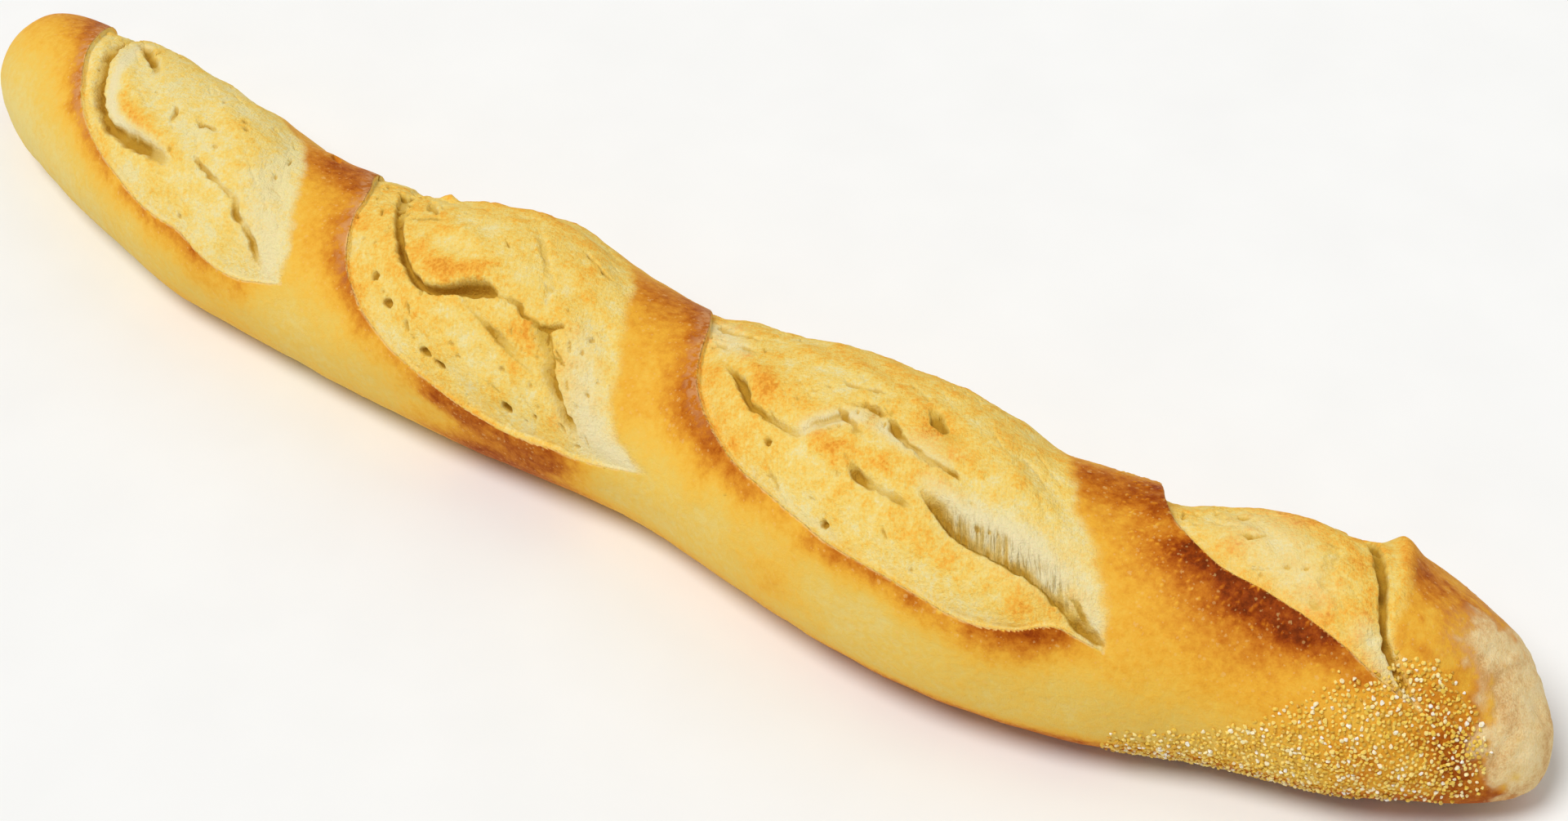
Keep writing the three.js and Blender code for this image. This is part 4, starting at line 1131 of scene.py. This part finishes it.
# %% Hex to linear, and a node adder
def linear(hex_value):
    """'#RRGGBB' in sRGB as linear red, green and blue, with an alpha of 1."""
    channels = [int(hex_value[i:i + 2], 16) / 255 for i in (1, 3, 5)]
    return [c / 12.92 if c <= 0.04045 else ((c + 0.055) / 1.055) ** 2.4 for c in channels] + [1.0]


def new_material(name):
    """A material with an empty tree and its output: (material, tree, shader)."""
    material = bpy.data.materials.new(name)
    material.use_nodes = True
    new_tree = material.node_tree
    new_tree.nodes.clear()
    principled = new_tree.nodes.new("ShaderNodeBsdfPrincipled")
    output = new_tree.nodes.new("ShaderNodeOutputMaterial")
    new_tree.links.new(principled.outputs[0], output.inputs[0])
    return material, new_tree, principled


def feed(socket, value):
    """Gives an input either a value or another node's output."""
    if isinstance(value, bpy.types.NodeSocket):
        tree.links.new(value, socket)
    else:
        socket.default_value = value


def add_node(kind, settings, *inputs, out=0, **named_inputs):
    """Adds a node to the tree of the material at hand. `settings` are its properties. Its inputs
    are fed in their order or by name. Gives back the node's output number `out`."""
    node = tree.nodes.new("ShaderNode" + kind)
    for key, value in settings.items():
        setattr(node, key, value)
    enabled = [socket for socket in node.inputs if socket.enabled]
    for socket, value in zip(enabled, inputs):
        feed(socket, value)
    for key, value in named_inputs.items():
        feed(node.inputs[key.replace("_", " ")], value)
    return [socket for socket in node.outputs if socket.enabled][out]


def set_stops(colour, stops):
    """Sets the stops, each (place, hex colour), of the colour ramp whose output is `colour`."""
    elements = colour.node.color_ramp.elements
    for element, (place, hex_value) in zip(elements, (stops[0], stops[-1])):
        element.position, element.color = place, linear(hex_value)
    for place, hex_value in stops[1:-1]:
        elements.new(place).color = linear(hex_value)


PLUS, MINUS, TIMES, OVER, LARGER = (
    {"operation": operation} for operation in ("ADD", "SUBTRACT", "MULTIPLY", "DIVIDE", "MAXIMUM"))
SMOOTH_STEP = {"interpolation_type": "SMOOTHSTEP"}      # rises from 0 to 1 between two limits
COLOUR, NUMBER = {"data_type": "RGBA"}, {"data_type": "FLOAT"}
print("the yellow of straw in linear light:", [round(c, 3) for c in linear("#E6CE7C")])

# %% [markdown]
# ## Baked crust and open crumb
#
# Crust is starch and protein, dried and browned by the oven: a satin surface with an index of
# refraction about that of sugar and starch, 1.5. Crumb is the same starch, but foamed, so it
# scatters light and looks soft and matte. They are one material here, because they are one
# surface: the numbers stored on the mesh say which is which, how brown it is, and how deep.
#
# The patterns over them have the sizes of real bread: a mottling of 1 to 3 mm where the skin
# dried unevenly, and patches of about 10 mm. Pores are finer than half a millimetre, and are
# drawn at that size so that they show.

# %% The stored numbers and the patterns
crust_material, tree, shader = new_material("baked_crust_and_crumb")
FACTOR = 2                      # an Attribute node gives colour, vector, factor and alpha
OBJECT_SPACE = 3                # a Texture Coordinate node gives the object's own space as fourth
PATTERNS = {                    # size in mm, detail, roughness of the noise
    "pores": (0.45, 2, 0.5), "mottle": (1.6, 3, 0.5), "blotches": (3.2, 2, 0.5), "patches": (9, 2, 0.5),
    "crumb_clouds": (3.0, 2, 0.5), "crumb_walls": (0.8, 3, 0.6), "fringe": (5, 3, 0.6),
    "felt": (0.9, 4, 0.65), "fine_felt": (0.3, 1, 0.5),
}
stored = {key: add_node("Attribute", {"attribute_name": key}, out=FACTOR) for key in surface_numbers}
own_space = add_node("TexCoord", {}, out=OBJECT_SPACE)
pattern = {key: add_node("TexNoise", {}, own_space, 1 / (size * MM), detail, roughness)
           for key, (size, detail, roughness) in PATTERNS.items()}
print(f"patterns: {len(pattern)}, stored numbers: {len(stored)}")

# %% [markdown]
# A ramp turns browning into colour, in the order that a loaf goes through in the oven, from the
# yellow of straw over amber to the brown of chestnuts. Before that the patterns push the
# browning up and down, and blisters, whose skin is thin and dry, stay paler.

# %% Crust colour
CRUST_RAMP = [(0.0, "#E6CE7C"), (0.18, "#EAC45C"), (0.36, "#EFBC48"), (0.50, "#EBAC36"),
              (0.62, "#DD942A"), (0.74, "#C9761A"), (0.84, "#AE580C"), (0.92, "#963F04"),
              (1.0, "#722B02")]
BLISTER_PALER = 0.16


def centred(noise, amount):
    """Noise from 0 to 1, turned into noise round 0 and made `amount` strong."""
    return add_node("Math", TIMES, add_node("Math", MINUS, noise, 0.5), amount)


browned = stored["browning"]
for key, amount in (("blotches", 0.16), ("mottle", 0.22), ("patches", 0.16), ("pores", 0.14)):
    browned = add_node("Math", PLUS, browned, centred(pattern[key], amount))
blister_share = add_node("MapRange", SMOOTH_STEP, stored["blister"], 0.05, 0.3)
browned = add_node("Math", MINUS, browned, add_node("Math", TIMES, blister_share, BLISTER_PALER))
crust_colour = add_node("ValToRGB", {}, browned)
set_stops(crust_colour, CRUST_RAMP)
print(f"crust: {len(CRUST_RAMP)} stops from straw to chestnut")

# %% [markdown]
# Steam and gluten leave pale specks in the skin, up to about half a millimetre across, most of
# them where the crust is dark. Each cell of a Voronoi pattern holds one dot, as large as the
# cell's own random colour says, and many cells hold none.

# %% Pale specks
SPECK_COLOUR = "#F0C67C"
SPECK_BLUR = 0.04
SPECKS = [(1.1, 0.34, 0.30), (2.6, 0.22, 0.36)]    # gap in mm, size of the largest in gaps, strength
ON_STRAW = 0.55                                    # share of the specks' strength on pale crust
for gap, largest, strength in SPECKS:
    distance = add_node("TexVoronoi", {}, own_space, 1 / (gap * MM))
    cell_colour = distance.node.outputs["Color"]
    dot_size = add_node("Math", TIMES, add_node("MapRange", SMOOTH_STEP, cell_colour, 0.3, 1.0), largest)
    dot_size = add_node("Math", PLUS, dot_size, centred(pattern["pores"], 0.5))
    past_dot = add_node("Math", MINUS, distance, dot_size)
    speck_share = add_node("MapRange", SMOOTH_STEP, past_dot, SPECK_BLUR, -SPECK_BLUR)
    on_brown = add_node("MapRange", SMOOTH_STEP, browned, 0.35, 0.75)
    on_brown = add_node("Math", {**PLUS, "use_clamp": True}, ON_STRAW, on_brown)
    speck_share = add_node("Math", TIMES, speck_share, add_node("Math", TIMES, on_brown, strength))
    crust_colour = add_node("Mix", COLOUR, speck_share, crust_colour, linear(SPECK_COLOUR))
print(f"specks: {len(SPECKS)} sizes")

# %% [markdown]
# Two things lie over the browned colour. Stretched skin has a rosy tint, broken up by the
# mottling. The flour on the tip is a cloudy cream, browner where it is thin.

# %% Rosy skin and flour
ROSY_COLOUR, ROSY_STRENGTH = "#DA9F68", 0.7
FLOUR_RAMP = [(0.25, "#D9AC70"), (0.4, "#EBC68A"), (0.55, "#F5D89C"), (0.75, "#FBE4AE")]
FLOUR_STRENGTH = 0.92
rosy_share = add_node("MapRange", SMOOTH_STEP, pattern["mottle"], 0.38, 0.6)
rosy_share = add_node("Math", TIMES, stored["rosy"], rosy_share)
rosy_share = add_node("Math", TIMES, rosy_share, ROSY_STRENGTH)
crust_colour = add_node("Mix", COLOUR, rosy_share, crust_colour, linear(ROSY_COLOUR))

dusting = add_node("Math", PLUS, pattern["patches"], centred(pattern["mottle"], 0.6))
dusting = add_node("Math", PLUS, dusting, centred(pattern["pores"], 0.6))
flour_colour = add_node("ValToRGB", {}, dusting)
set_stops(flour_colour, FLOUR_RAMP)
flour_share = add_node("Math", TIMES, stored["flour"], FLOUR_STRENGTH)
crust_colour = add_node("Mix", COLOUR, flour_share, crust_colour, flour_colour)
print("rosy skin and flour laid over the crust")

# %% [markdown]
# The crumb's colour starts from how toasted it is. Freshly torn places are paler and a little
# grey. Where the crumb was drawn out, fibres half a millimetre wide run across the tear. Their
# pattern is read at the two stored lengths, across and along the strands, each divided by the
# size of a fibre that way.

# %% Crumb colour
CRUMB_RAMP = [(0.0, "#F7E5A2"), (0.2, "#FBDE86"), (0.42, "#FCD66E"), (0.6, "#FCC958"),
              (0.76, "#FDBB48"), (0.9, "#F7AB3C"), (1.0, "#EC9C32")]
FRESH_COLOUR, FRESH_STRENGTH = "#F4E5B6", 0.85
FIBRE_WIDTH, FIBRE_LENGTH = 0.5, 5.0    # mm
fibre_across = add_node("Math", OVER, stored["across_strand"], FIBRE_WIDTH)
fibre_along = add_node("Math", OVER, stored["along_strand"], FIBRE_LENGTH)
fibre_place = add_node("CombineXYZ", {}, fibre_across, fibre_along)
fibres = add_node("TexNoise", {}, fibre_place, 1.0, 3.0, 0.6, Distortion=0.4)

toasted = add_node("Math", PLUS, stored["toast"], centred(fibres, 0.35))
for key, amount in (("crumb_clouds", 0.6), ("mottle", 0.5), ("crumb_walls", 0.8)):
    toasted = add_node("Math", PLUS, toasted, centred(pattern[key], amount))
crumb_colour = add_node("ValToRGB", {}, toasted)
set_stops(crumb_colour, CRUMB_RAMP)
fresh_share = add_node("Math", TIMES, stored["fresh"], FRESH_STRENGTH)
crumb_colour = add_node("Mix", COLOUR, fresh_share, crumb_colour, linear(FRESH_COLOUR))
print(f"crumb: {len(CRUMB_RAMP)} stops from white crumb to golden toast")

# %% [markdown]
# Painted shade: down in a crack the crumb is turned to ochre and then to a deep olive brown, the
# more the higher its painted shade. The gaps between drawn-out fibres get painted shade as well.

# %% Painted shade in cracks and between fibres
PAINTED_DEPTH_SHADES = [(0.3, 1.8, 0.75, "#DDB44A"), (1.5, 3.6, 0.92, "#C09028")]    # shallow, deep, strength, colour
FIBRE_GAP_SHADE_COLOUR, FIBRE_GAP_SHADE_STRENGTH = "#B5964A", 0.75
for shallow, deep, strength, colour in PAINTED_DEPTH_SHADES:
    depth_shade_share = add_node("MapRange", SMOOTH_STEP, stored["painted_shade"], shallow, deep)
    depth_shade_share = add_node("Math", TIMES, depth_shade_share, strength)
    crumb_colour = add_node("Mix", COLOUR, depth_shade_share, crumb_colour, linear(colour))
# painted shade between the drawn-out fibres
fibre_gap_shade_share = add_node("MapRange", SMOOTH_STEP, fibres, 0.52, 0.34)
fibre_gap_shade_share = add_node("Math", TIMES, fibre_gap_shade_share, stored["drawn"])
fibre_gap_shade_share = add_node("Math", TIMES, fibre_gap_shade_share, FIBRE_GAP_SHADE_STRENGTH)
crumb_colour = add_node("Mix", COLOUR, fibre_gap_shade_share, crumb_colour, linear(FIBRE_GAP_SHADE_COLOUR))
print(f"depths: {len(PAINTED_DEPTH_SHADES)} colours")

# %% [markdown]
# At the ear the border between crust and crumb was cut by a blade, so it is a sharp line. At the
# opposite edge the skin thinned until it tore, so crust fades into crumb over a millimetre or
# two, with a fringe of specks. The stored distance from the cut's outline is nudged by noise, more
# at the soft edge, before it is turned into a share.

# %% Crust over crumb
soft_edge = stored["soft"]
fringe = add_node("Math", PLUS, centred(pattern["mottle"], 1.0), centred(pattern["pores"], 0.6))
fringe_width = add_node("Math", PLUS, 0.35, add_node("Math", TIMES, soft_edge, 1.8))
fringe = add_node("Math", TIMES, fringe, fringe_width)
wide_fringe = add_node("Math", TIMES, centred(pattern["fringe"], 5.0), soft_edge)
fringe = add_node("Math", PLUS, fringe, wide_fringe)
torn_border = add_node("Math", PLUS, stored["opened"], fringe)
last_crust = add_node("Math", MINUS, -0.1, add_node("Math", TIMES, soft_edge, 1.3))
first_crumb = add_node("Math", PLUS, 0.2, add_node("Math", TIMES, soft_edge, 1.7))
crumb_share = add_node("MapRange", SMOOTH_STEP, torn_border, last_crust, first_crumb)
surface_colour = add_node("Mix", COLOUR, crumb_share, crust_colour, crumb_colour)
print("crust and crumb meet")

# %% [markdown]
# Along the very lip of an ear the pale cut edge of the skin shows, less than a millimetre wide.
# It is a product of conditions, each a smooth step: between two distances from the border, near
# an ear, here and there, and not where the lip is burnt.

# %% The pale cut edge
CUT_EDGE_COLOUR, CUT_EDGE_STRENGTH = "#F5CE86", 0.6
cut_edge = CUT_EDGE_STRENGTH
for value, none_at, full_at in (
        (torn_border, -0.45, -0.1), (torn_border, 0.45, 0.1), (stored["lip"], 1.0, 0.5),
        (pattern["mottle"], 0.36, 0.56), (browned, 0.85, 0.65)):
    condition = add_node("MapRange", SMOOTH_STEP, value, none_at, full_at)
    cut_edge = add_node("Math", TIMES, cut_edge, condition)
surface_colour = add_node("Mix", COLOUR, cut_edge, surface_colour, linear(CUT_EDGE_COLOUR))
print("cut edge laid on")

# %% [markdown]
# Crust is satin, crumb and flour are matte. The finest relief, too fine for the mesh, is bump:
# mottling and pores on the crust, and a felt of broken starch walls, 0.3 to 1 mm, on the crumb
# and, half as strong, on the flour.

# %% Roughness and fine bump
CRUST_ROUGHNESS, UNEVEN_ROUGHNESS, CRUMB_ROUGHNESS, FLOUR_ROUGHNESS = 0.48, 0.24, 0.92, 0.95
BUMP_DEPTH = 0.7 * MM
mottled = add_node("Math", TIMES, pattern["mottle"], UNEVEN_ROUGHNESS)
skin_roughness = add_node("Math", PLUS, CRUST_ROUGHNESS, mottled)
surface_roughness = add_node("Mix", NUMBER, crumb_share, skin_roughness, CRUMB_ROUGHNESS)
surface_roughness = add_node("Mix", NUMBER, stored["flour"], surface_roughness, FLOUR_ROUGHNESS)

felt = add_node("Math", PLUS, pattern["felt"], add_node("Math", TIMES, pattern["fine_felt"], 0.25))
fibre_height = add_node("Math", PLUS, 0.3, add_node("Math", TIMES, stored["drawn"], 1.2))
felt = add_node("Math", PLUS, felt, add_node("Math", TIMES, fibres, fibre_height))
skin = add_node("Math", PLUS, add_node("Math", TIMES, pattern["mottle"], 0.35),
                add_node("Math", TIMES, pattern["pores"], 0.18))
felt_share = add_node("Math", LARGER, crumb_share, add_node("Math", TIMES, stored["flour"], 0.5))
relief = add_node("Mix", NUMBER, felt_share, skin, felt)
bump = add_node("Bump", {}, Strength=0.9, Distance=BUMP_DEPTH, Height=relief)

# %% [markdown]
# A loaf isn't shiny, so only a little of the mirror reflection of starch is left. A little light
# enters the surface and comes out beside it, red further than blue, which warms the shadows.

# %% Finish the crust and crumb
for name, value in {
        "Base Color": surface_colour, "Roughness": surface_roughness, "Normal": bump,
        "IOR": 1.5, "Specular IOR Level": 0.07, "Subsurface Weight": 0.08,
        "Subsurface Radius": (1.0, 0.55, 0.2), "Subsurface Scale": 1.6 * MM}.items():
    feed(shader.inputs[name], value)
loaf.data.materials.append(crust_material)
print(f"crust and crumb: {len(tree.nodes)} nodes")

# %% [markdown]
# ## Corn grits
#
# Before it went into the oven, the near end was pressed into coarse corn grits. A grit is a
# chip of a maize kernel, about 1 mm across: angular, with yellow horny parts and white floury
# ones. Geometry Nodes could scatter them, but a small array program is just as short and keeps
# full control. It starts from one small round mesh, and every chip is a copy of it, cut flat on
# several sides.

# %% The start of a chip
CHIP_SUBDIVISIONS = 2
bpy.ops.mesh.primitive_ico_sphere_add(subdivisions=CHIP_SUBDIVISIONS, radius=1)
chip_maker = bpy.context.object
chip_points = np.array([v.co for v in chip_maker.data.vertices])
chip_faces = np.array([p.vertices for p in chip_maker.data.polygons])
bpy.data.objects.remove(chip_maker)
print(f"chip: {len(chip_faces)} faces")

# %% [markdown]
# The patch is an outline on the crust. Inside it the grains almost touch, past it they thin out
# within a few millimetres, and under the loaf they lie where the dough met them.

# %% Outline of the patch
GRIT_PATCH = np.array([(146, 53), (164, 47), (175, 40), (182, 32), (187, 25), (192, 22), (196, 14),
                       (203, 10), (213, 12), (214, 18), (212, 26), (206, 36), (199, 46), (190, 54),
                       (186, 64), (146, 66)], float)
PATCH_REACH = 16                # mm to each side of the outline that are measured
OUT_OF_REACH = -30.0
patch_distance = np.full(X.shape, OUT_OF_REACH)
index, distance, _, _ = near_line([*GRIT_PATCH, GRIT_PATCH[0]], PATCH_REACH)
patch_distance[index] = -np.abs(distance)
patch_distance = np.where(inside_outline(GRIT_PATCH), np.abs(patch_distance), patch_distance)
point_normal = unit(np.cross(np.gradient(points, axis=1), np.gradient(points, axis=0)))
print(f"grit patch: {np.mean(patch_distance > 0):.1%} of the points")

# %% [markdown]
# Places are drawn at random and kept if a second draw allows it there, and if no grain is too
# near. To find near grains quickly, each is filed under the cell of space that it lies in, so
# only the cells round about have to be searched.

# %% Scatter the chips
GRIT_ROOM = 0.84                # mm between the middles of two grains
TRIES = 46_000
TRIED_X, TRIED_S = (100, 219), (6, 84)      # the box in which places are drawn
PATCH_BLUR = 8                  # mm over which the patch thins out
DENSEST, DENSEST_BELOW = 0.95, 0.5          # chance of keeping a place, and under the loaf
ON_CRUMB = 0.25                 # how much rarer grits are in an open cut
draw = np.random.default_rng(23)
NEIGHBOURS = [(i, j, k) for i in (-1, 0, 1) for j in (-1, 0, 1) for k in (-1, 0, 1)]
taken = {}
grits = []
for _ in range(TRIES):
    x, s = draw.uniform(*TRIED_X), draw.uniform(*TRIED_S)
    row = min(np.searchsorted(row_x, x), len(row_x) - 1)
    column = min(np.searchsorted(S[row], s), len(column_angle) - 1)
    if s > S[row, -1]:
        continue
    if underside[row, column] > 0.5:
        chance = DENSEST_BELOW * smooth((x - 110) / 60)
    else:
        chance = smooth(patch_distance[row, column] / PATCH_BLUR + 0.5) * DENSEST
    if opened[row, column] > 1.5:
        chance *= ON_CRUMB
    if draw.random() > chance:
        continue
    place = points[row, column]
    cell = tuple(np.floor(place / GRIT_ROOM).astype(int))
    near_grits = [taken.get((cell[0] + i, cell[1] + j, cell[2] + k)) for i, j, k in NEIGHBOURS]
    if any(grit is not None and np.linalg.norm(grit - place) < GRIT_ROOM for grit in near_grits):
        continue
    taken[cell] = place
    grits.append((place, point_normal[row, column]))
print(f"grits: {len(grits)} placed after {time.time() - started:.0f} s")

# %% [markdown]
# A mill breaks the kernel along flat faces, so each chip gets flat cuts in random directions: what
# stands out past a cut is pressed back to it. Then the chip is stretched, turned, tilted, and
# half sunk into the crust. A random number on each chip says what kind of corn it is. Under the
# loaf the chips are pressed flush, so that their lowest points lie on the table.

# %% Build the grits as one mesh
GRIT_SIZES = (0.38, 0.66)       # mm, half the width of the smallest and of the largest
LONGER, FLATTER = (1.0, 1.35), (0.7, 0.95)  # length and thickness, in widths
BREAKS = 8
BREAK_DEPTHS = (0.45, 0.72)     # how far from a chip's middle it broke, in radii
TILT = 0.35                     # radians, how unevenly the chips lie
SINK = (0.15, 0.6)              # how far their middles stand out, in thicknesses


def broken_chip(size):
    """A chip with flat faces, of about this half width, lying flat at the origin."""
    stretch = np.array([size * draw.uniform(*LONGER), size, size * draw.uniform(*FLATTER)])
    shape = chip_points.copy()
    for _ in range(BREAKS):
        break_side = draw.normal(size=3)
        break_side /= np.linalg.norm(break_side)
        past_break = np.maximum(shape @ break_side - draw.uniform(*BREAK_DEPTHS), 0)
        shape -= past_break[:, None] * break_side
    return shape * stretch, stretch[2]


def chip_axes(normal):
    """Three axes for a chip on a surface: turned at random and tilted a little."""
    side = np.cross(normal, [0, 0, 1] if abs(normal[2]) < 0.9 else [1, 0, 0])
    side /= np.linalg.norm(side)
    other = np.cross(normal, side)
    turn, tilt = draw.uniform(0, 2 * math.pi), draw.normal(0, TILT)
    first = side * math.cos(turn) + other * math.sin(turn)
    second = np.cross(normal, first)
    up = normal * math.cos(tilt) + first * math.sin(tilt)
    return np.stack([first * math.cos(tilt) - normal * math.sin(tilt), second, up])


grit_vertices, grit_kinds = [], []
for place, normal in grits:
    shape, thickness = broken_chip(draw.uniform(*GRIT_SIZES))
    axes = chip_axes(normal)
    chip = place + normal * thickness * draw.uniform(*SINK) + shape @ axes
    chip[:, 2] = np.maximum(chip[:, 2], 0)
    grit_vertices.append(np.clip(chip, low - [0, 0, 1], high))
    grit_kinds.append(np.full(len(chip_points), draw.random()))
first_corners = np.arange(len(grits))[:, None, None] * len(chip_points)
corn = mesh_from("corn_grits", np.concatenate(grit_vertices) * MM,
                 (chip_faces + first_corners).reshape(-1, 3),
                 {"kind": np.concatenate(grit_kinds)}, shade_smooth=False)
print(f"corn: {len(corn.data.polygons)} triangles")

# %% [markdown]
# ## Maize
#
# Horny endosperm is yellow and slightly glassy, like hard cheese rind, and floury endosperm is
# white and matte. Both are starch, IOR about 1.53. A little light passes through a thin chip, so
# it has some subsurface scattering.

# %% Corn material
CORN_RAMP = [(0.0, "#D2A02C"), (0.22, "#E8BC3C"), (0.5, "#F5D056"), (0.78, "#F9DF84"),
             (0.92, "#FBECBE"), (1.0, "#FFFAEC")]
CHIP_MOTTLE = 0.7               # mm, so that a chip is half horny and half floury at most
corn_material, tree, shader = new_material("coarse_maize")
kind = add_node("Attribute", {"attribute_name": "kind"}, out=FACTOR)
own_space = add_node("TexCoord", {}, out=OBJECT_SPACE)
chip_mottle = add_node("TexNoise", {}, own_space, 1 / (CHIP_MOTTLE * MM), 2.0, 0.5)
corn_colour = add_node("ValToRGB", {}, add_node("Math", PLUS, kind, centred(chip_mottle, 0.35)))
set_stops(corn_colour, CORN_RAMP)
chip_bump = add_node("Bump", {}, Strength=0.4, Distance=0.12 * MM, Height=chip_mottle)
for name, value in {
        "Base Color": corn_colour, "Normal": chip_bump, "Roughness": 0.45, "IOR": 1.53,
        "Subsurface Weight": 0.15, "Subsurface Radius": (1.0, 0.7, 0.3),
        "Subsurface Scale": 0.8 * MM}.items():
    feed(shader.inputs[name], value)
corn.data.materials.append(corn_material)
print(f"maize: {len(tree.nodes)} nodes")

# %% [markdown]
# ## Joined to the frame
#
# The loaf and its grits ride on the part's one body, and together they stand for the CAD solid,
# which has the same form with fewer faces.

# %% Ride and replace
for piece, slot_name in ((loaf, "crust"), (corn, "corn_grits")):
    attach(piece, "root")
    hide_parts("loaf")
    print(f"{piece.name}: rides on root, stands for loaf, slot {slot_name}")

# %% [markdown]
# ## The table top
#
# A pale, plain floor, as in a product studio. It is matte paper, so wide that its rim is out of
# sight, and it is stage, not part of the loaf.

# %% Floor
FLOOR_REACH = 6.0               # metres to each side
PAPER_RAMP = [(0.0, "#F1F1EF"), (1.0, "#F7F7F5")]
PAPER_CLOUDS = 30               # mm
corners = [(-FLOOR_REACH, -FLOOR_REACH, 0), (FLOOR_REACH, -FLOOR_REACH, 0),
           (FLOOR_REACH, FLOOR_REACH, 0), (-FLOOR_REACH, FLOOR_REACH, 0)]
floor_mesh = bpy.data.meshes.new("studio_floor")
floor_mesh.from_pydata(corners, [], [(0, 1, 2, 3)])
studio_floor = bpy.data.objects.new("studio_floor", floor_mesh)
bpy.context.scene.collection.objects.link(studio_floor)

floor_material, tree, shader = new_material("matte_white_paper")
own_space = add_node("TexCoord", {}, out=OBJECT_SPACE)
paper = add_node("TexNoise", {}, own_space, 1 / (PAPER_CLOUDS * MM), 2.0, 0.5)
paper_colour = add_node("ValToRGB", {}, paper)
set_stops(paper_colour, PAPER_RAMP)
for name, value in {"Base Color": paper_colour, "Roughness": 0.9, "Specular IOR Level": 0.1}.items():
    feed(shader.inputs[name], value)
floor_mesh.materials.append(floor_material)
print(f"floor: {2 * FLOOR_REACH:.0f} m wide")

# %% [markdown]
# ## The light
#
# The main lamp is above and in front, so that the ears throw short soft shadows into the cuts. A
# weaker one behind lights the far side, and the bright surroundings fill the shadows. Both lamps
# are suns, because a lamp far off lights the near and the far end alike.

# %% Lamps and world
LAMPS = [            # name, direction that it stands in, strength, softness in degrees
    ("main_lamp", (-0.3, -0.6, 1.3), 2.15, 30), ("back_lamp", (0.5, 0.9, 0.9), 0.45, 60),
]
SURROUNDINGS = 0.34
for name, direction, strength, softness in LAMPS:
    lamp = bpy.data.lights.new(name, "SUN")
    lamp.energy = strength
    lamp.angle = math.radians(softness)
    holder = bpy.data.objects.new(name, lamp)
    holder.location = direction
    holder.rotation_mode = "QUATERNION"
    holder.rotation_quaternion = (-Vector(direction)).to_track_quat("-Z", "Y")
    bpy.context.scene.collection.objects.link(holder)
world = bpy.data.worlds.new("soft_surroundings")
bpy.context.scene.world = world
world.use_nodes = True
world.node_tree.nodes["Background"].inputs[0].default_value = linear("#FFFFFF")
world.node_tree.nodes["Background"].inputs[1].default_value = SURROUNDINGS
bpy.context.scene.view_settings.view_transform = "Standard"
print(f"lamps: {len(LAMPS)}")

# %% [markdown]
# ## The camera
#
# It stands 0.9 m from the loaf, turned 35 degrees round it and looking down by 42 degrees, with a
# lens of about 88 mm, so the near end looks a little larger than the far one.

# %% Camera
CAMERA_TURN = math.radians(34.65)
CAMERA_DROP = math.radians(42)
CAMERA_DISTANCE = 0.9
CAMERA_TARGET = Vector((30.9, 5.7 + MIDDLE_SHIFT, 25.0)) * MM
LENS, SENSOR_WIDTH = 87.96, 36
back = Vector((math.sin(CAMERA_TURN) * math.cos(CAMERA_DROP),
               -math.cos(CAMERA_TURN) * math.cos(CAMERA_DROP), math.sin(CAMERA_DROP)))
camera_data = bpy.data.cameras.new("camera")
camera_data.sensor_width = SENSOR_WIDTH
camera_data.lens = LENS
camera = bpy.data.objects.new("camera", camera_data)
camera.location = CAMERA_TARGET + back * CAMERA_DISTANCE
camera.rotation_mode = "QUATERNION"
camera.rotation_quaternion = (-back).to_track_quat("-Z", "Y")
bpy.context.scene.collection.objects.link(camera)
bpy.context.scene.camera = camera
print("camera at, mm:", [round(v / MM) for v in camera.location])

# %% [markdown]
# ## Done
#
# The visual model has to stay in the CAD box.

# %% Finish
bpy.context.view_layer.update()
print(f"scene made in {time.time() - started:.0f} s")
